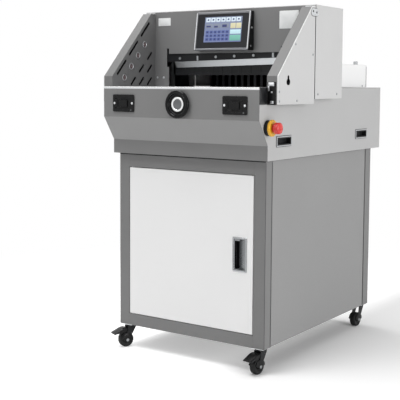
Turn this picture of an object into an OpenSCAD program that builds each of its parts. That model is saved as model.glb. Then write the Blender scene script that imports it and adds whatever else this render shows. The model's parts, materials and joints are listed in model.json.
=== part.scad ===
// Electric paper cutter on a wheeled cabinet stand.
// X runs to the right, Y to the back, Z up from the floor, in millimetres.
// Lengths called "from the front" start at the upper front face of the casing.

/* [Overall] */
// Width of the lower casing
casing_w = 680; // [640:1:760]
// Depth of the lower casing
casing_d = 1000; // [980:1:1100]
// Height of the casters
caster_h = 92; // [90:1:110]
// Height of the cabinet stand
stand_h = 667; // [560:1:760]
// Height of the lower casing, from the stand to the table top
casing_h = 253; // [245:1:300]
// Height of the cutting head above the table
head_h = 297; // [290:1:330]
// Thickness of the sheet metal
sheet = 2; // [1.5:0.1:2.5]

/* [Fits] */
// Radial clearance of shafts and pins in their bores
run_gap = 0.05; // [0.02:0.01:0.1]
// Gap between faces that slide past one another
slide_gap = 0.5; // [0.3:0.1:0.9]
// Gap round the stand door
door_gap = 2.5; // [2:0.1:4]

/* [Stand] */
// Setback of the stand from the sides of the casing
stand_in = 16; // [5:1:40]
// Setback of the stand from the rear of the casing
stand_rear = 52; // [20:1:120]
// Setback of the stand from the front
stand_set = 76; // [66:1:90]
// Width of a corner post, seen from the front
post_w = 46; // [36:1:60]
// Depth of a corner post
post_d = 48; // [36:1:60]
// Height of the top rails
rail_top_h = 52; // [40:1:70]
// Height of the bottom rails
rail_low_h = 45; // [36:1:60]
// Thickness of the side and rear rails
rail_t = 30; // [20:1:36]
// Setback of the panels behind the faces of the posts
panel_inset = 2; // [1:0.5:4]
// Seam between a side panel and the posts
panel_seam = 4; // [2:0.5:6]

/* [Door] */
// Thickness of the folded door
door_t = 18; // [14:1:24]
// Hinge axis, in from the left edge of the door
hinge_in = 10; // [9:0.5:14]
// Hinge axis, behind the face of the door
hinge_back = 7; // [6:0.5:9]
// Diameter of the hinge pins
hinge_pin_d = 8; // [5:0.5:8]
// Wall round a hinge pin in the door
hinge_wall = 4; // [3:0.5:6]
// Reach of a hinge pin into the door
hinge_pin_l = 14; // [10:1:30]
// Width of the door pull
pull_w = 57; // [45:1:80]
// Height of the door pull
pull_h = 121; // [90:1:160]
// Depth of the door pull's cup
pull_depth = 15; // [10:0.5:16]
// Wall of the door pull
pull_wall = 1.5; // [1:0.1:2]
// Flange of the door pull round its cup
pull_rim = 4; // [3:0.5:6]
// From the right edge of the door to the pull
pull_in = 26; // [15:1:60]
// From the bottom of the door to the middle of the pull
pull_up = 281; // [150:1:350]

/* [Casters] */
// Side of a caster's square top plate
plate_w = 50; // [46:1:60]
// Thickness of a caster's top plate
plate_t = 3; // [2:0.5:5]
// From the edges of the stand to a caster plate
plate_in = 4; // [1:1:12]
// Diameter of the ball race under a plate
race_d = 36; // [30:1:40]
// Height of the ball race
race_h = 2.7; // [2:0.1:4]
// Running gap above and below the swivel disc
race_gap = 0.3; // [0.2:0.1:0.5]
// Diameter of the king pin
king_d = 12; // [8:1:14]
// Diameter of the head of the king pin
king_head_d = 18; // [16:1:22]
// Thickness of the head of the king pin
king_head_t = 2.5; // [2:0.5:4]
// Diameter of the swivel disc of a fork
disc_d = 44; // [42:1:48]
// Thickness of the swivel disc
disc_t = 4; // [3:0.5:5]
// Diameter of a wheel
wheel_d = 58; // [50:1:60]
// Width of a wheel
wheel_w = 24; // [20:1:26]
// Trail of a wheel behind its swivel axis
trail = 22; // [16:1:26]
// Side gap between wheel and fork
wheel_gap = 1.2; // [0.8:0.1:2]
// Thickness of a fork leg
leg_t = 3; // [2:0.5:4]
// Diameter of a wheel axle
axle_d = 8; // [6:0.5:10]
// Turn of the four casters at rest: front left, front right, rear left, rear right
caster_turn = [-26, -7, -14, -5]; // [-45:1:45]

/* [Brake pedals] */
// Diameter of a pedal's pivot
pivot_d = 5; // [4:0.5:6]
// Diameter of the barrel round the pivot
barrel_d = 10; // [9:0.5:12]
// Reach of a pedal from its pivot
pedal_l = 66; // [58:1:80]
// Pivot of a pedal, ahead of the swivel axis
pivot_set = 10; // [8:0.5:12]
// Length of the tread of a pedal
tread_l = 24; // [16:1:30]
// Width of the tread of a pedal
tread_w = 40; // [34:1:50]
// Thickness of a pedal
pedal_t = 3; // [2:0.5:4]
// Bend of a pedal behind the wheel axle
pedal_bend = 20; // [16:1:24]
// Drop of a pedal tread below its pivot
pedal_drop = 19; // [15:1:20]
// Length of the brake shoe under a pedal
shoe_l = 10; // [6:1:14]
// Gap between the brake shoe and the tread, with the brake on
shoe_gap = 0.4; // [0.3:0.1:0.8]

/* [Casing] */
// Setback of the lower front below the slant
slant_set = 58; // [30:1:62]
// Height of the foot of the slant above the stand
slant_low = 52; // [40:1:60]
// Height of the head of the slant above the stand
slant_high = 140; // [110:1:150]
// Thickness of the casing floor
floor_t = 3; // [2:0.5:5]
// Width of the flange that carries the table
table_flange = 16; // [10:1:24]

/* [Side grips] */
// Length of a grip
grip_l = 105; // [80:1:120]
// Height of a grip
grip_h = 33; // [26:1:40]
// Depth of a grip's recess
grip_depth = 18; // [12:1:22]
// Rim of a grip
grip_rim = 4; // [3:0.5:6]
// Height of the middle of a grip above the stand
grip_up = 65; // [30:1:75]
// Middle of the front grip, from the front
grip_front = 172; // [140:1:240]
// Middle of the rear grip, in from the rear
grip_back = 186; // [120:1:300]

/* [Table] */
// Thickness of the table
table_t = 8; // [6:0.5:10]
// Width of the rib under the cutting line
bed_w = 60; // [40:1:70]
// Depth of the rib under the table
bed_h = 24; // [16:1:40]
// Width of the cutting stick
stick_w = 10; // [8:0.5:14]
// Depth of the cutting stick
stick_h = 10; // [8:0.5:14]
// Ends of the cutting stick, in from the ends of the blade
stick_in = 3; // [1:0.5:8]

/* [Head] */
// Setback of the cutting head from the front
head_set = 318; // [300:1:330]
// Depth of the cutting head
head_d = 222; // [215:1:260]
// Thickness of the wings and head side covers
wing_t = 42; // [34:1:50]
// Drop of the head side covers below the table
cover_drop = 41; // [20:1:60]
// Left end of the throat, in from the link pin
throat_in = 9; // [5:1:14]
// Right end of the throat, in from the side of the casing
throat_side = 100; // [65:1:110]
// Height of the throat above the table
throat_h = 130; // [120:1:134]
// Width of the slots at the ends of the throat
end_slot_w = 10; // [6:1:12]
// Lower end of the end slots above the table
end_slot_low = 78; // [60:1:90]
// Upper end of the end slots above the table
end_slot_high = 151; // [140:1:155]

/* [Wings] */
// Setback of the wings from the front
wing_set = 49; // [30:1:70]
// Drop of the wings below the table
wing_drop = 58; // [40:1:70]
// Height of the upright front of a wing above the table
wing_nose = 39; // [20:1:60]
// Length of the flat top of a wing
wing_top = 27; // [15:1:40]
// Drop of a wing's top below the top of the head
wing_step = 8; // [4:1:20]
// Diameter of the light windows
window_d = 24; // [16:1:28]
// Spacing of the light windows
window_pitch = 61; // [50:1:63]
// Number of light windows in a wing
window_n = 4; // [3:1:4]
// Lowest window: from the front and above the table
window_at = [122, 34]; // [20:1:160]
// Width of the vent slots
vent_w = 10; // [6:0.5:11]
// Length of the long vent slots
vent_long = 80; // [60:1:90]
// Spacing of the long vent slots
vent_pitch = 106; // [100:1:108]
// Lowest long slot: from the front and above the table
vent_at = [105, 73]; // [60:1:130]
// Length of the short vent slots
vent_short = 44; // [30:1:48]
// Rows of short vent slots
vent_rows = 3; // [1:1:3]
// Spacing of the short vent slots, along and up
vent_step = [52, 50]; // [46:1:56]
// Top row of short slots: before the head and above the table
vent_top = [37, 121]; // [30:1:130]
// Depth of the light-curtain bars
bar_t = 22; // [16:1:28]
// Width of the light-curtain bars
bar_w = 34; // [30:1:40]
// Keyhole in a wing cover: from the front and above the table
key_at = [122, 22]; // [20:1:140]
// Diameter of the keyhole
key_d = 11; // [6:0.5:12]
// Seam between a wing cover and the head
cover_seam = 3; // [1:0.5:5]

/* [Screen] */
// Width of the screen housing
screen_w = 246; // [220:1:280]
// Height of the screen housing
screen_h = 146; // [130:1:150]
// Depth of the screen housing at its foot
screen_foot = 38; // [28:1:50]
// Depth of the screen housing at its head
screen_head = 17; // [12:1:26]
// Drop of the screen housing below the top of the head
screen_drop = 12; // [6:1:14]
// Width of the bright screen frame
frame_w = 8; // [5:1:12]
// Thickness of the bright screen frame
frame_t = 3; // [2:0.5:5]
// Thickness of the touch glass
glass_t = 2; // [1.5:0.1:2.5]

/* [Controls] */
// Distance of the button plates and handwheel below the table
control_drop = 62; // [60:1:66]
// Middle of a button plate, in from the side of the casing
plate_side = 96; // [70:1:160]
// Width of a button plate
pad_w = 99; // [90:1:110]
// Height of a button plate
pad_h = 64; // [56:1:70]
// Thickness of a button plate
pad_t = 4; // [3:0.5:6]
// Corner radius of a button plate
pad_r = 5; // [2:0.5:8]
// Depth of the recess in a button plate
well_depth = 2.5; // [1.5:0.5:3]
// Width of the recess
well_w = 76; // [68:1:82]
// Height of the recess
well_h = 44; // [40:1:50]
// Radius of the ears left round the plate screws
ear_r = 14; // [10:0.5:15]
// Plate screws, in from the ends of a button plate
ear_in = 8; // [6:0.5:12]
// Width of a cut button
button_w = 36; // [28:1:40]
// Height of a cut button
button_h = 26; // [20:1:30]
// Corner radius of a cut button
button_r = 3; // [1:0.5:5]
// Height of a cut button above the floor of its recess
button_rise = 3.5; // [3:0.5:4.5]
// Travel of a cut button
button_travel = 3; // [2:0.5:3.5]
// Diameter of a button stem
stem_d = 10; // [8:1:12]
// Length of the switch behind a button plate
switch_l = 32; // [24:1:40]
// Wall of the switch round its button
switch_wall = 2; // [1:0.5:3]
// Room round a switch in the front panel
switch_room = 1; // [0.5:0.5:3]
// Handwheel, to the right of the middle of the panel
wheel_side = 7; // [0:1:20]
// Diameter of the handwheel
wheel_dia = 102; // [90:1:110]
// Thickness of the handwheel rim
rim_t = 14; // [12:1:15]
// Distance of the handwheel face from the panel
wheel_face = 18; // [17:1:24]
// Depth of the dish in the handwheel
dish_d = 11; // [8:0.5:11.5]
// Height of the bright cap in the dish
cap_h = 3; // [2.5:0.5:6]
// Outer diameter of the bright ring
ring_d = 53; // [44:1:60]
// Radial width of the bright ring
ring_w = 8; // [5:0.5:12]
// Diameter of the handwheel spindle
spindle_d = 10; // [8:1:12]
// Wall of the boss round the spindle
spindle_wall = 3; // [2:0.5:5]
// Diameter of the handwheel base
wheel_base_d = 66; // [50:1:80]
// Thickness of the handwheel base
wheel_base_t = 2; // [1.5:0.1:2.2]
// Height of the collar on the handwheel base
collar_h = 1; // [0.5:0.1:1.2]

/* [Emergency stop] */
// Emergency stop, from the front
estop_set = 56; // [50:1:80]
// Emergency stop, above the stand
estop_up = 115; // [112:1:130]
// Diameter of the collar's disc
collar_d = 58; // [50:1:64]
// Diameter of the collar's foot at the panel
collar_foot_d = 46; // [38:1:48]
// Thickness of the collar's disc
collar_t = 9; // [6:0.5:12]
// Depth of the collar
collar_l = 24; // [14:1:26]
// Diameter of the mushroom
mushroom_d = 40; // [34:1:44]
// Thickness of the mushroom
mushroom_t = 22; // [14:1:24]
// Diameter of the stem of the mushroom
neck_d = 26; // [20:1:30]
// Gap between mushroom and collar
estop_gap = 8; // [7:0.5:10]
// Travel of the emergency stop
estop_travel = 6; // [4:0.5:6]

/* [Knife] */
// Opening under the knife at its left end
knife_open = 75; // [66:1:76]
// Sideways travel of the knife
knife_shift = 36; // [24:1:36]
// Tilt of the knife at rest, in degrees
knife_tilt = 1.35; // [0.8:0.05:1.4]
// Thickness of the knife carrier
carrier_t = 22; // [20:0.5:24]
// Gap between head panel and carrier
carrier_gap = 4; // [4:0.5:6]
// Height of the knife carrier
carrier_h = 182; // [178:1:184]
// Left end of the carrier, beyond the link pin
carrier_left = 14; // [12:1:15]
// Right end of the carrier, beyond the blade
carrier_over = 4; // [2:1:8]
// Ends of the blade, in from the link pin
blade_in = 22; // [20:1:28]
// Height of the blade
blade_h = 68; // [60:1:72]
// Thickness of the blade
blade_t = 10; // [8:0.5:11]
// Height of the blade that shows below the carrier
blade_show = 23.5; // [22:0.5:25]
// Gap over the blade in its seat
blade_seat = 0.3; // [0.2:0.1:0.5]
// Outer knife bolts, in from the ends of the blade
bolt_in = 45.5; // [40:0.5:50]
// Shift of the row of bolts to the left
bolt_shift = 8; // [0:1:12]
// Number of knife bolts
bolt_n = 6; // [4:1:6]
// Diameter of a knife bolt head
bolt_d = 10; // [8:1:12]
// Height of a knife bolt head
bolt_t = 3; // [2:0.5:3.5]
// Height of the knife bolts above the foot of the carrier
bolt_up = 12; // [9:1:16]
// Diameter of the knife rollers
roller_d = 22; // [18:1:24]
// Side clearance of a roller in its slot
roller_gap = 1; // [0.8:0.1:1.5]
// The two rollers, in from the link pin and from the right end of the carrier
roller_in = [130, 132]; // [100:1:160]
// Height of the rollers above the table
roller_up = 172; // [170:1:174]

/* [Knife drive] */
// Link pin, in from the left side of the casing
link_in = 60; // [58:1:64]
// Height of the link pin above the table
link_up = 138; // [132:1:140]
// Diameter of the link pin
link_pin_d = 16; // [12:1:18]
// Length of the pull link between its eyes
link_l = 280; // [260:1:285]
// Width of the pull link
link_w = 24; // [22:1:26]
// Thickness of the pull link
link_t = 12; // [10:0.5:13]
// Gap between carrier and pull link
link_gap = 2; // [1:0.5:3]
// Gap left at the open crank pivot
crank_gap = 0.9; // [0.5:0.1:0.9]
// Thickness of the crank arm
crank_t = 14; // [10:1:16]
// Diameter of the crank shaft
crank_shaft_d = 24; // [20:1:28]
// Depth of the crank shaft in the gearbox
shaft_seat = 20; // [15:1:40]
// Size of the gearbox: width, depth and height
gearbox = [100, 84, 128]; // [60:1:140]
// Diameter of the knife motor
motor_d = 100; // [80:1:100]
// Length of the knife motor
motor_l = 170; // [120:1:220]

/* [Head frame] */
// Thickness of the uprights
upright_t = 22; // [16:1:24]
// Depth of the uprights
upright_d = 128; // [100:1:140]
// Setback of the uprights behind the head panel
upright_set = 74; // [72:1:80]
// Underside of the cross beam above the table
beam_up = 193; // [190:1:196]
// Thickness of the cross beam
beam_t = 12; // [10:0.5:14]
// Thickness of the front web of the cross beam
web_t = 13; // [10:0.5:14]
// Depth of the cross beam's webs
web_h = 40; // [38:1:42]
// Beam, short of the back of the uprights
beam_short = 20; // [10:1:30]

/* [Clamp] */
// Height of the clamp above the table at rest
clamp_rest = 46; // [40:1:60]
// Highest position of the clamp above the table
clamp_open = 70; // [66:1:72]
// Ends of the clamp, in from the link pin
clamp_in = 19; // [16:1:24]
// Height of the clamp
clamp_h = 106; // [100:1:108]
// Height of the foot of the clamp
clamp_foot_h = 64; // [50:1:66]
// Thickness of the clamp above its foot
clamp_t = 26; // [22:1:28]
// Gap between blade and clamp
clamp_gap = 3; // [2:0.5:4]
// Ribs on the face of the clamp
clamp_ribs = 12; // [6:1:16]
// Floor left under the bore for the clamp screw
clamp_floor = 4; // [3:0.5:8]
// Height of the ears that guide the clamp
clamp_ear = 34; // [24:1:40]
// Depth of the ribs on the clamp
clamp_rib_t = 1.5; // [1:0.5:1.5]
// Diameter of the clamp screw
clamp_screw_d = 14; // [10:1:16]
// Size of the screw motors
screw_motor = 56; // [42:1:56]
// Length of the screw motors
screw_motor_l = 54; // [40:1:54]

/* [Back gauge] */
// Face of the back gauge at rest, behind the knife
gauge_rest = 214; // [120:1:400]
// Nearest position of the back gauge
gauge_min = 47; // [46:1:60]
// Room left behind the motor of the gauge
gauge_rear = 20; // [10:1:60]
// Ends of the back gauge, in from the right end of the throat
gauge_in = 5; // [2:1:20]
// Height of the back gauge
gauge_h = 80; // [60:1:84]
// Length of the fingers of the back gauge
finger_l = 50; // [30:1:55]
// Width of a finger
finger_w = 12; // [8:1:16]
// Number of fingers
finger_n = 16; // [8:1:18]
// Thickness of the beam behind the fingers
gauge_t = 20; // [14:1:24]
// Width of the slot in the table
slot_w = 18; // [14:1:24]
// Length of the carriage
carriage_l = 50; // [36:1:54]
// Width of the carriage
carriage_w = 170; // [150:1:190]
// Height of the carriage
carriage_h = 40; // [34:1:46]
// Diameter of the gauge rods
rod_d = 16; // [12:1:20]
// Distance of a gauge rod from the middle
rod_x = 60; // [48:1:66]
// Drop of the rods and screw below the table top
rod_drop = 37; // [37:1:44]
// Diameter of the gauge screw
gauge_screw_d = 14; // [10:1:16]
// Thickness of the end blocks
block_t = 15; // [10:1:18]
// Depth of the end blocks below the rods
block_drop = 25; // [20:1:30]
// Gap between the carriage and an end block at the end of its way
block_gap = 3; // [1:0.5:6]
// Side gap of the carriage's web in the slot of the table
web_gap = 1; // [0.5:0.1:2]

/* [Rear cover] */
// Sides of the rear cover, in from the sides of the casing
rear_in = 40; // [35:1:60]
// Rear of the cover, in from the rear of the casing
rear_set = 55; // [20:1:70]
// Height of the rear cover
rear_h = 94; // [92:1:110]
// Gap between head and rear cover
rear_gap = 5; // [4:0.5:8]
// Gap between rear cover and table, for its front corners to swing
rear_clear = 1.5; // [1.2:0.1:2]
// Hinge axis behind the front edge of the cover
rear_axis_back = 12; // [10:0.5:14]
// Hinge axis below the top of the cover
rear_axis_drop = 10; // [8:0.5:11]
// Diameter of the hinge pins of the cover
rear_pin_d = 6; // [4:0.5:8]
// Wall of the bosses round these pins
boss_wall = 4; // [3:0.5:5]
// Thickness of the hinge lugs on the head
lug_t = 4; // [3:0.5:6]
// Height of the knobs on the cover
knob_h = 14; // [8:1:20]
// Diameter of the knobs on the cover
knob_d = 16; // [10:1:24]
// Knobs, in from the sides of the cover
knob_in = 20; // [14:1:40]
// Knobs, in from the rear edge of the cover
knob_back = 67; // [30:1:120]

/* [Power inlet] */
// Width of the inlet flange
inlet_w = 50; // [44:1:60]
// Height of the inlet flange
inlet_h = 30; // [26:1:40]
// Width and height of the inlet body
inlet_body = [35, 21]; // [18:1:40]
// Depth of the inlet body
inlet_d = 28; // [20:1:34]
// Wall of the inlet body
inlet_wall = 3; // [2:0.5:4]
// Thickness of the bottom of the inlet body
inlet_back = 8; // [4:1:12]
// Inlet, in from the left side of the casing
inlet_in = 100; // [50:1:240]
// Inlet, above the stand
inlet_up = 40; // [30:1:60]

/* [Hidden] */
$fn = 64;

// A hair by which cutting shapes pass the faces that they cut
e = 0.1;

// Heights above the floor
stand_z = caster_h;
casing_z = stand_z + stand_h;
table_z = casing_z + casing_h;
head_z = table_z + head_h;
under_table = table_z - table_t;

// The middle of the whole machine in depth is the origin
front_y = (wheel_face - casing_d - sheet) / 2;
dish_z = wheel_face - dish_d;

half = casing_w / 2;
inner = half - sheet;
stand_w = casing_w - 2 * stand_in;
stand_d = casing_d - stand_set - stand_rear;
stand_half = stand_w / 2;
stand_back = stand_set + stand_d;

// Door opening and door
door_w = stand_w - 2 * post_w - 2 * door_gap;
door_low = stand_z + rail_low_h + door_gap;
door_high = casing_z - rail_top_h - door_gap;
hinge_x = -door_w / 2 + hinge_in;
hinge_y = stand_set + hinge_back;
hinge_block = hinge_pin_d + 2 * hinge_wall;
pull_x = door_w / 2 - pull_in - pull_w / 2;
pull_z = door_low + pull_up;

// Casters: places in the order of caster_turn
caster_x = stand_half - plate_in - plate_w / 2;
caster_front = stand_set + plate_in + plate_w / 2;
caster_rear = stand_back - plate_in - plate_w / 2;
caster_at = [[-caster_x, caster_front], [caster_x, caster_front],
    [-caster_x, caster_rear], [caster_x, caster_rear]];
plate_low = caster_h - plate_t;
disc_high = plate_low - race_h - race_gap;
disc_low = disc_high - disc_t;
wheel_r = wheel_d / 2;
leg_x = wheel_w / 2 + wheel_gap;
pivot_y = -pivot_set;
pivot_z = disc_low - king_head_t - race_gap - barrel_d / 2 - 1;

// Casing front: bend angle of the slant and inset of its corners per unit of thickness
slant_z = [casing_z + slant_high, casing_z + slant_low];
slant_bend = tan(atan(slant_set / (slant_high - slant_low)) / 2);
wing_low = table_z - wing_drop;
control_z = table_z - control_drop;

// Wings: foot and head of the slanted edge, and its angle from upright
wing_nose_z = table_z + wing_nose;
wing_high = head_z - wing_step;
wing_lean = atan((head_set - wing_top - wing_set) / (wing_high - wing_nose_z));
wing_dir = [sin(wing_lean), cos(wing_lean)];

head_back = head_set + head_d;

// Widths that follow the link pin, which keeps its distance from the side of the casing
link_x = half - link_in;
blade_l = 2 * (link_x - blade_in);
stick_l = blade_l - 2 * stick_in;
clamp_l = 2 * (link_x - clamp_in);
throat_left = link_x - throat_in;
throat_right = half - throat_side;
plate_x = half - plate_side;
inlet_x = half - inlet_in;
grip_rear = casing_d - grip_back;
carrier_right = blade_l / 2 + carrier_over;
roller_x = [roller_in[0] - link_x, carrier_right - roller_in[1]];
bolt_pitch = (blade_l - 2 * bolt_in) / (bolt_n - 1);

// Knife: planes in depth and heights in the level position at the height of rest
carrier_y = head_set + sheet + carrier_gap;
knife_y = carrier_y + carrier_t;
edge_z = table_z + knife_open - (link_x - blade_l / 2) * tan(knife_tilt);
carrier_low = edge_z + blade_show;
blade_left = -blade_l / 2;
knife_drop = edge_z - table_z - slide_gap;
link_z = table_z + link_up;
link_y = knife_y + link_gap;
bolt_left = bolt_in - blade_l / 2 - bolt_shift;

// Crank: centre half way along the stroke, pin on the eye of the link at rest
crank_x = -link_x - knife_shift / 2;
crank_z = link_z - link_l - knife_drop / 2;
crank_r = norm([knife_shift, knife_drop]) / 2;
crank_angle = atan(knife_shift / knife_drop);
crank_y = link_y + link_t + crank_gap + 5;
gearbox_y = crank_y + crank_t + 4;

// Head frame
upright_x = inner - upright_t;
upright_y = head_set + upright_set;
beam_z = table_z + beam_up;
web_y = knife_y + 1;
beam_back = upright_y + upright_d - beam_short;
roller_z = table_z + roller_up;

// Clamp
clamp_y = knife_y + clamp_gap;
clamp_back = web_y + web_t + 2 + clamp_t;
clamp_low = table_z + clamp_rest;
clamp_screw_y = clamp_back - clamp_t / 2;
clamp_rise = clamp_open - clamp_rest;

// Back gauge
gauge_y = knife_y + gauge_rest;
carriage_y = gauge_y + finger_l + gauge_t - carriage_l;
rod_z = table_z - rod_drop;
gauge_w = 2 * (throat_right - gauge_in);
block_front = knife_y + gauge_min + finger_l + gauge_t - carriage_l - block_gap - block_t;
block_rear = casing_d - sheet - gauge_rear - screw_motor_l - block_t;
block_low = rod_z - block_drop;

// Rear cover
rear_y = head_back + rear_gap;
rear_w = casing_w - 2 * rear_in;
rear_d = casing_d - rear_set - rear_y;
rear_high = table_z + rear_h;
rear_axis_y = rear_y + rear_axis_back;
rear_axis_z = rear_high - rear_axis_drop;
rear_boss = rear_pin_d + 2 * boss_wall;

// Screen: lean of its face
screen_high = head_z - screen_drop;
screen_low = screen_high - screen_h;
screen_lean = atan((screen_foot - screen_head) / screen_h);
face_h = norm([screen_foot - screen_head, screen_h]);

estop_z = casing_z + estop_up;

// Moves from lengths "from the front" to the origin in the middle
module machine() { translate([0, front_y, 0]) children(); }

// A profile in depth and height, extruded to the right from x
module along_x(x, t) { translate([x, 0, 0]) rotate([90, 0, 90]) linear_extrude(t) children(); }

// A profile in width and height, extruded to the back from y
module along_y(y, t) { translate([0, y + t, 0]) rotate([90, 0, 0]) linear_extrude(t) children(); }

// A round bar along x or y from a point
module bar_x(p, d, l) { translate(p) rotate([0, 90, 0]) cylinder(d = d, h = l); }
module bar_y(p, d, l) { translate(p) rotate([-90, 0, 0]) cylinder(d = d, h = l); }

module both_sides() { for (s = [0, 1]) mirror([s, 0, 0]) children(); }

module rounded(w, h, r) {
    square([w - 2 * r, h], center = true);
    square([w, h - 2 * r], center = true);
    for (x = [-1, 1], y = [-1, 1]) translate([x * (w / 2 - r), y * (h / 2 - r)]) circle(r);
}

// A slot with round ends, lying along x
module slot(l, w) {
    square([l - w, w], center = true);
    for (s = [-1, 1]) translate([s * (l - w) / 2, 0]) circle(d = w);
}

module tube(size, wall, axis) {
    hole = [for (i = [0:2]) i == axis ? size[i] + 2 * e : size[i] - 2 * wall];
    difference() {
        cube(size);
        translate([for (i = [0:2]) i == axis ? -e : wall]) cube(hole);
    }
}

// Stand

module stand_posts() color("#76787a") machine()
    for (x = [-stand_half, stand_half - post_w], y = [stand_set, stand_back - post_d])
        translate([x, y, stand_z]) tube([post_w, post_d, stand_h], sheet, 2);

module stand_rails() color("#76787a") machine() {
    for (r = [[stand_z, rail_low_h], [casing_z - rail_top_h, rail_top_h]]) {
        translate([-stand_half + post_w, stand_set, r[0]])
            tube([stand_w - 2 * post_w, post_d, r[1]], sheet, 0);
        translate([-stand_half + post_w, stand_back - panel_inset - sheet - rail_t, r[0]])
            tube([stand_w - 2 * post_w, rail_t, r[1]], sheet, 0);
        both_sides() translate([stand_half - panel_inset - sheet - rail_t, stand_set + post_d, r[0]])
            tube([rail_t, stand_d - 2 * post_d, r[1]], sheet, 1);
    }
}

module stand_side_panels() color("#9b9da0") machine() both_sides()
    translate([stand_half - panel_inset - sheet, stand_set + post_d + panel_seam, stand_z])
        cube([sheet, stand_d - 2 * (post_d + panel_seam), stand_h]);

module stand_rear_panel() color("#9b9da0") machine()
    translate([-stand_half + post_w, stand_back - panel_inset - sheet, stand_z])
        cube([stand_w - 2 * post_w, sheet, stand_h]);

module stand_floor() color("#8b8d90") machine()
    translate([-stand_half + panel_inset + sheet, stand_set + post_d, stand_z + rail_low_h])
        cube([stand_w - 2 * (panel_inset + sheet), stand_d - 2 * post_d, sheet]);

module stand_door() color("#e6e7e8") machine() difference() {
    union() {
        difference() {
            translate([-door_w / 2, stand_set, door_low]) cube([door_w, door_t, door_high - door_low]);
            translate([-door_w / 2 + sheet, stand_set + sheet, door_low + sheet])
                cube([door_w - 2 * sheet, door_t, door_high - door_low - 2 * sheet]);
        }
        for (z = [door_low, door_high - hinge_pin_l - sheet])
            translate([-door_w / 2, stand_set, z])
                cube([hinge_in + hinge_block / 2, hinge_back + hinge_block / 2, hinge_pin_l + sheet]);
    }
    for (z = [door_low - e, door_high - hinge_pin_l - slide_gap])
        translate([hinge_x, hinge_y, z])
            cylinder(d = hinge_pin_d + 2 * run_gap, h = hinge_pin_l + slide_gap + e);
    along_y(stand_set - e, sheet + 2 * e) translate([pull_x, pull_z])
        square([pull_w - 2 * pull_rim, pull_h - 2 * pull_rim], center = true);
}

// Cup profile of the pull: open to the front, with a sloped lip on the right
module pull_cup(w) {
    difference() {
        translate([-w / 2, 0]) square([w, pull_depth]);
        translate([-w / 2 + pull_wall, -e]) square([w * 0.3, pull_depth - pull_wall + e]);
        polygon([[-w / 2 + pull_wall + e, -e], [w / 2 - pull_wall, -e], [w / 2 - pull_wall, pull_wall],
            [-w * 0.2, pull_depth - pull_wall], [-w / 2 + pull_wall + e, pull_depth - pull_wall]]);
    }
}

module door_pull() color("#c9cccf") machine() translate([pull_x, stand_set, pull_z]) {
    w = pull_w - 2 * pull_rim - 2 * slide_gap;
    h = pull_h - 2 * pull_rim - 2 * slide_gap;
    difference() {
        translate([-pull_w / 2, -pull_wall, -pull_h / 2]) cube([pull_w, pull_wall, pull_h]);
        translate([-w / 2 + pull_wall, -pull_wall - e, -h / 2 + pull_wall])
            cube([w - 2 * pull_wall, pull_wall + 2 * e, h - 2 * pull_wall]);
    }
    translate([0, 0, -h / 2]) linear_extrude(h) pull_cup(w);
    for (z = [-h / 2, h / 2 - pull_wall]) translate([-w / 2, 0, z]) cube([w, pull_depth, pull_wall]);
}

module door_hinge_pins() color("#a8abae") machine()
    for (z = [door_low - door_gap, door_high - hinge_pin_l])
        translate([hinge_x, hinge_y, z]) cylinder(d = hinge_pin_d, h = hinge_pin_l + door_gap);

// Casters

// Places a caster piece drawn about its swivel axis, trailing to the front
module caster(i) { machine() translate(concat(caster_at[i], 0)) rotate([0, 0, caster_turn[i]]) children(); }

module caster_plates() color("#8d9093") machine() for (p = caster_at) translate(concat(p, 0)) {
    translate([-plate_w / 2, -plate_w / 2, plate_low]) cube([plate_w, plate_w, plate_t]);
    translate([0, 0, plate_low - race_h]) cylinder(d = race_d, h = race_h + e);
    translate([0, 0, disc_low - race_gap - king_head_t])
        cylinder(d = king_d, h = plate_low - disc_low + race_gap + king_head_t + e);
    translate([0, 0, disc_low - race_gap - king_head_t]) cylinder(d = king_head_d, h = king_head_t);
}

// Side view of a fork leg: broad at the disc, round at the axle
module leg_side() {
    polygon([[-disc_d / 2 + 4, disc_low + e], [disc_d / 2 - 6, disc_low + e],
        [disc_d / 2 - 10, disc_low - 8], [-trail + axle_d, wheel_r], [-trail - axle_d, wheel_r],
        [-disc_d / 2 + 2, disc_low - 14]]);
    translate([-trail, wheel_r]) circle(axle_d);
}

module fork(i, braked) color("#3a3c3e") caster(i) {
    difference() {
        union() {
            translate([0, 0, disc_low]) cylinder(d = disc_d, h = disc_t);
            both_sides() along_x(leg_x, leg_t) leg_side();
        }
        translate([0, 0, disc_low - e])
            cylinder(d = king_d + 2 * run_gap, h = disc_t + 2 * e);
    }
    bar_x([-leg_x - leg_t - 2, -trail, wheel_r], axle_d, 2 * (leg_x + leg_t + 2));
    if (braked) bar_x([-leg_x - leg_t, pivot_y, pivot_z], pivot_d, 2 * (leg_x + leg_t));
}

// Half section of a wheel: tread with worn shoulders, dished sides, hub
module wheel_section() {
    hub = axle_d + 6;
    polygon([[axle_d / 2 + run_gap, -wheel_w / 2], [hub, -wheel_w / 2], [hub + 3, -wheel_w / 2 + 4],
        [wheel_r - 9, -wheel_w / 2 + 4], [wheel_r - 7, -wheel_w / 2], [wheel_r - 3, -wheel_w / 2],
        [wheel_r, -wheel_w / 2 + 4], [wheel_r, wheel_w / 2 - 4], [wheel_r - 3, wheel_w / 2],
        [wheel_r - 7, wheel_w / 2], [wheel_r - 9, wheel_w / 2 - 4], [hub + 3, wheel_w / 2 - 4],
        [hub, wheel_w / 2], [axle_d / 2 + run_gap, wheel_w / 2]]);
}

module wheel(i) color("#1c1d1f") caster(i)
    translate([0, -trail, wheel_r]) rotate([0, 90, 0]) rotate_extrude() wheel_section();

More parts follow.
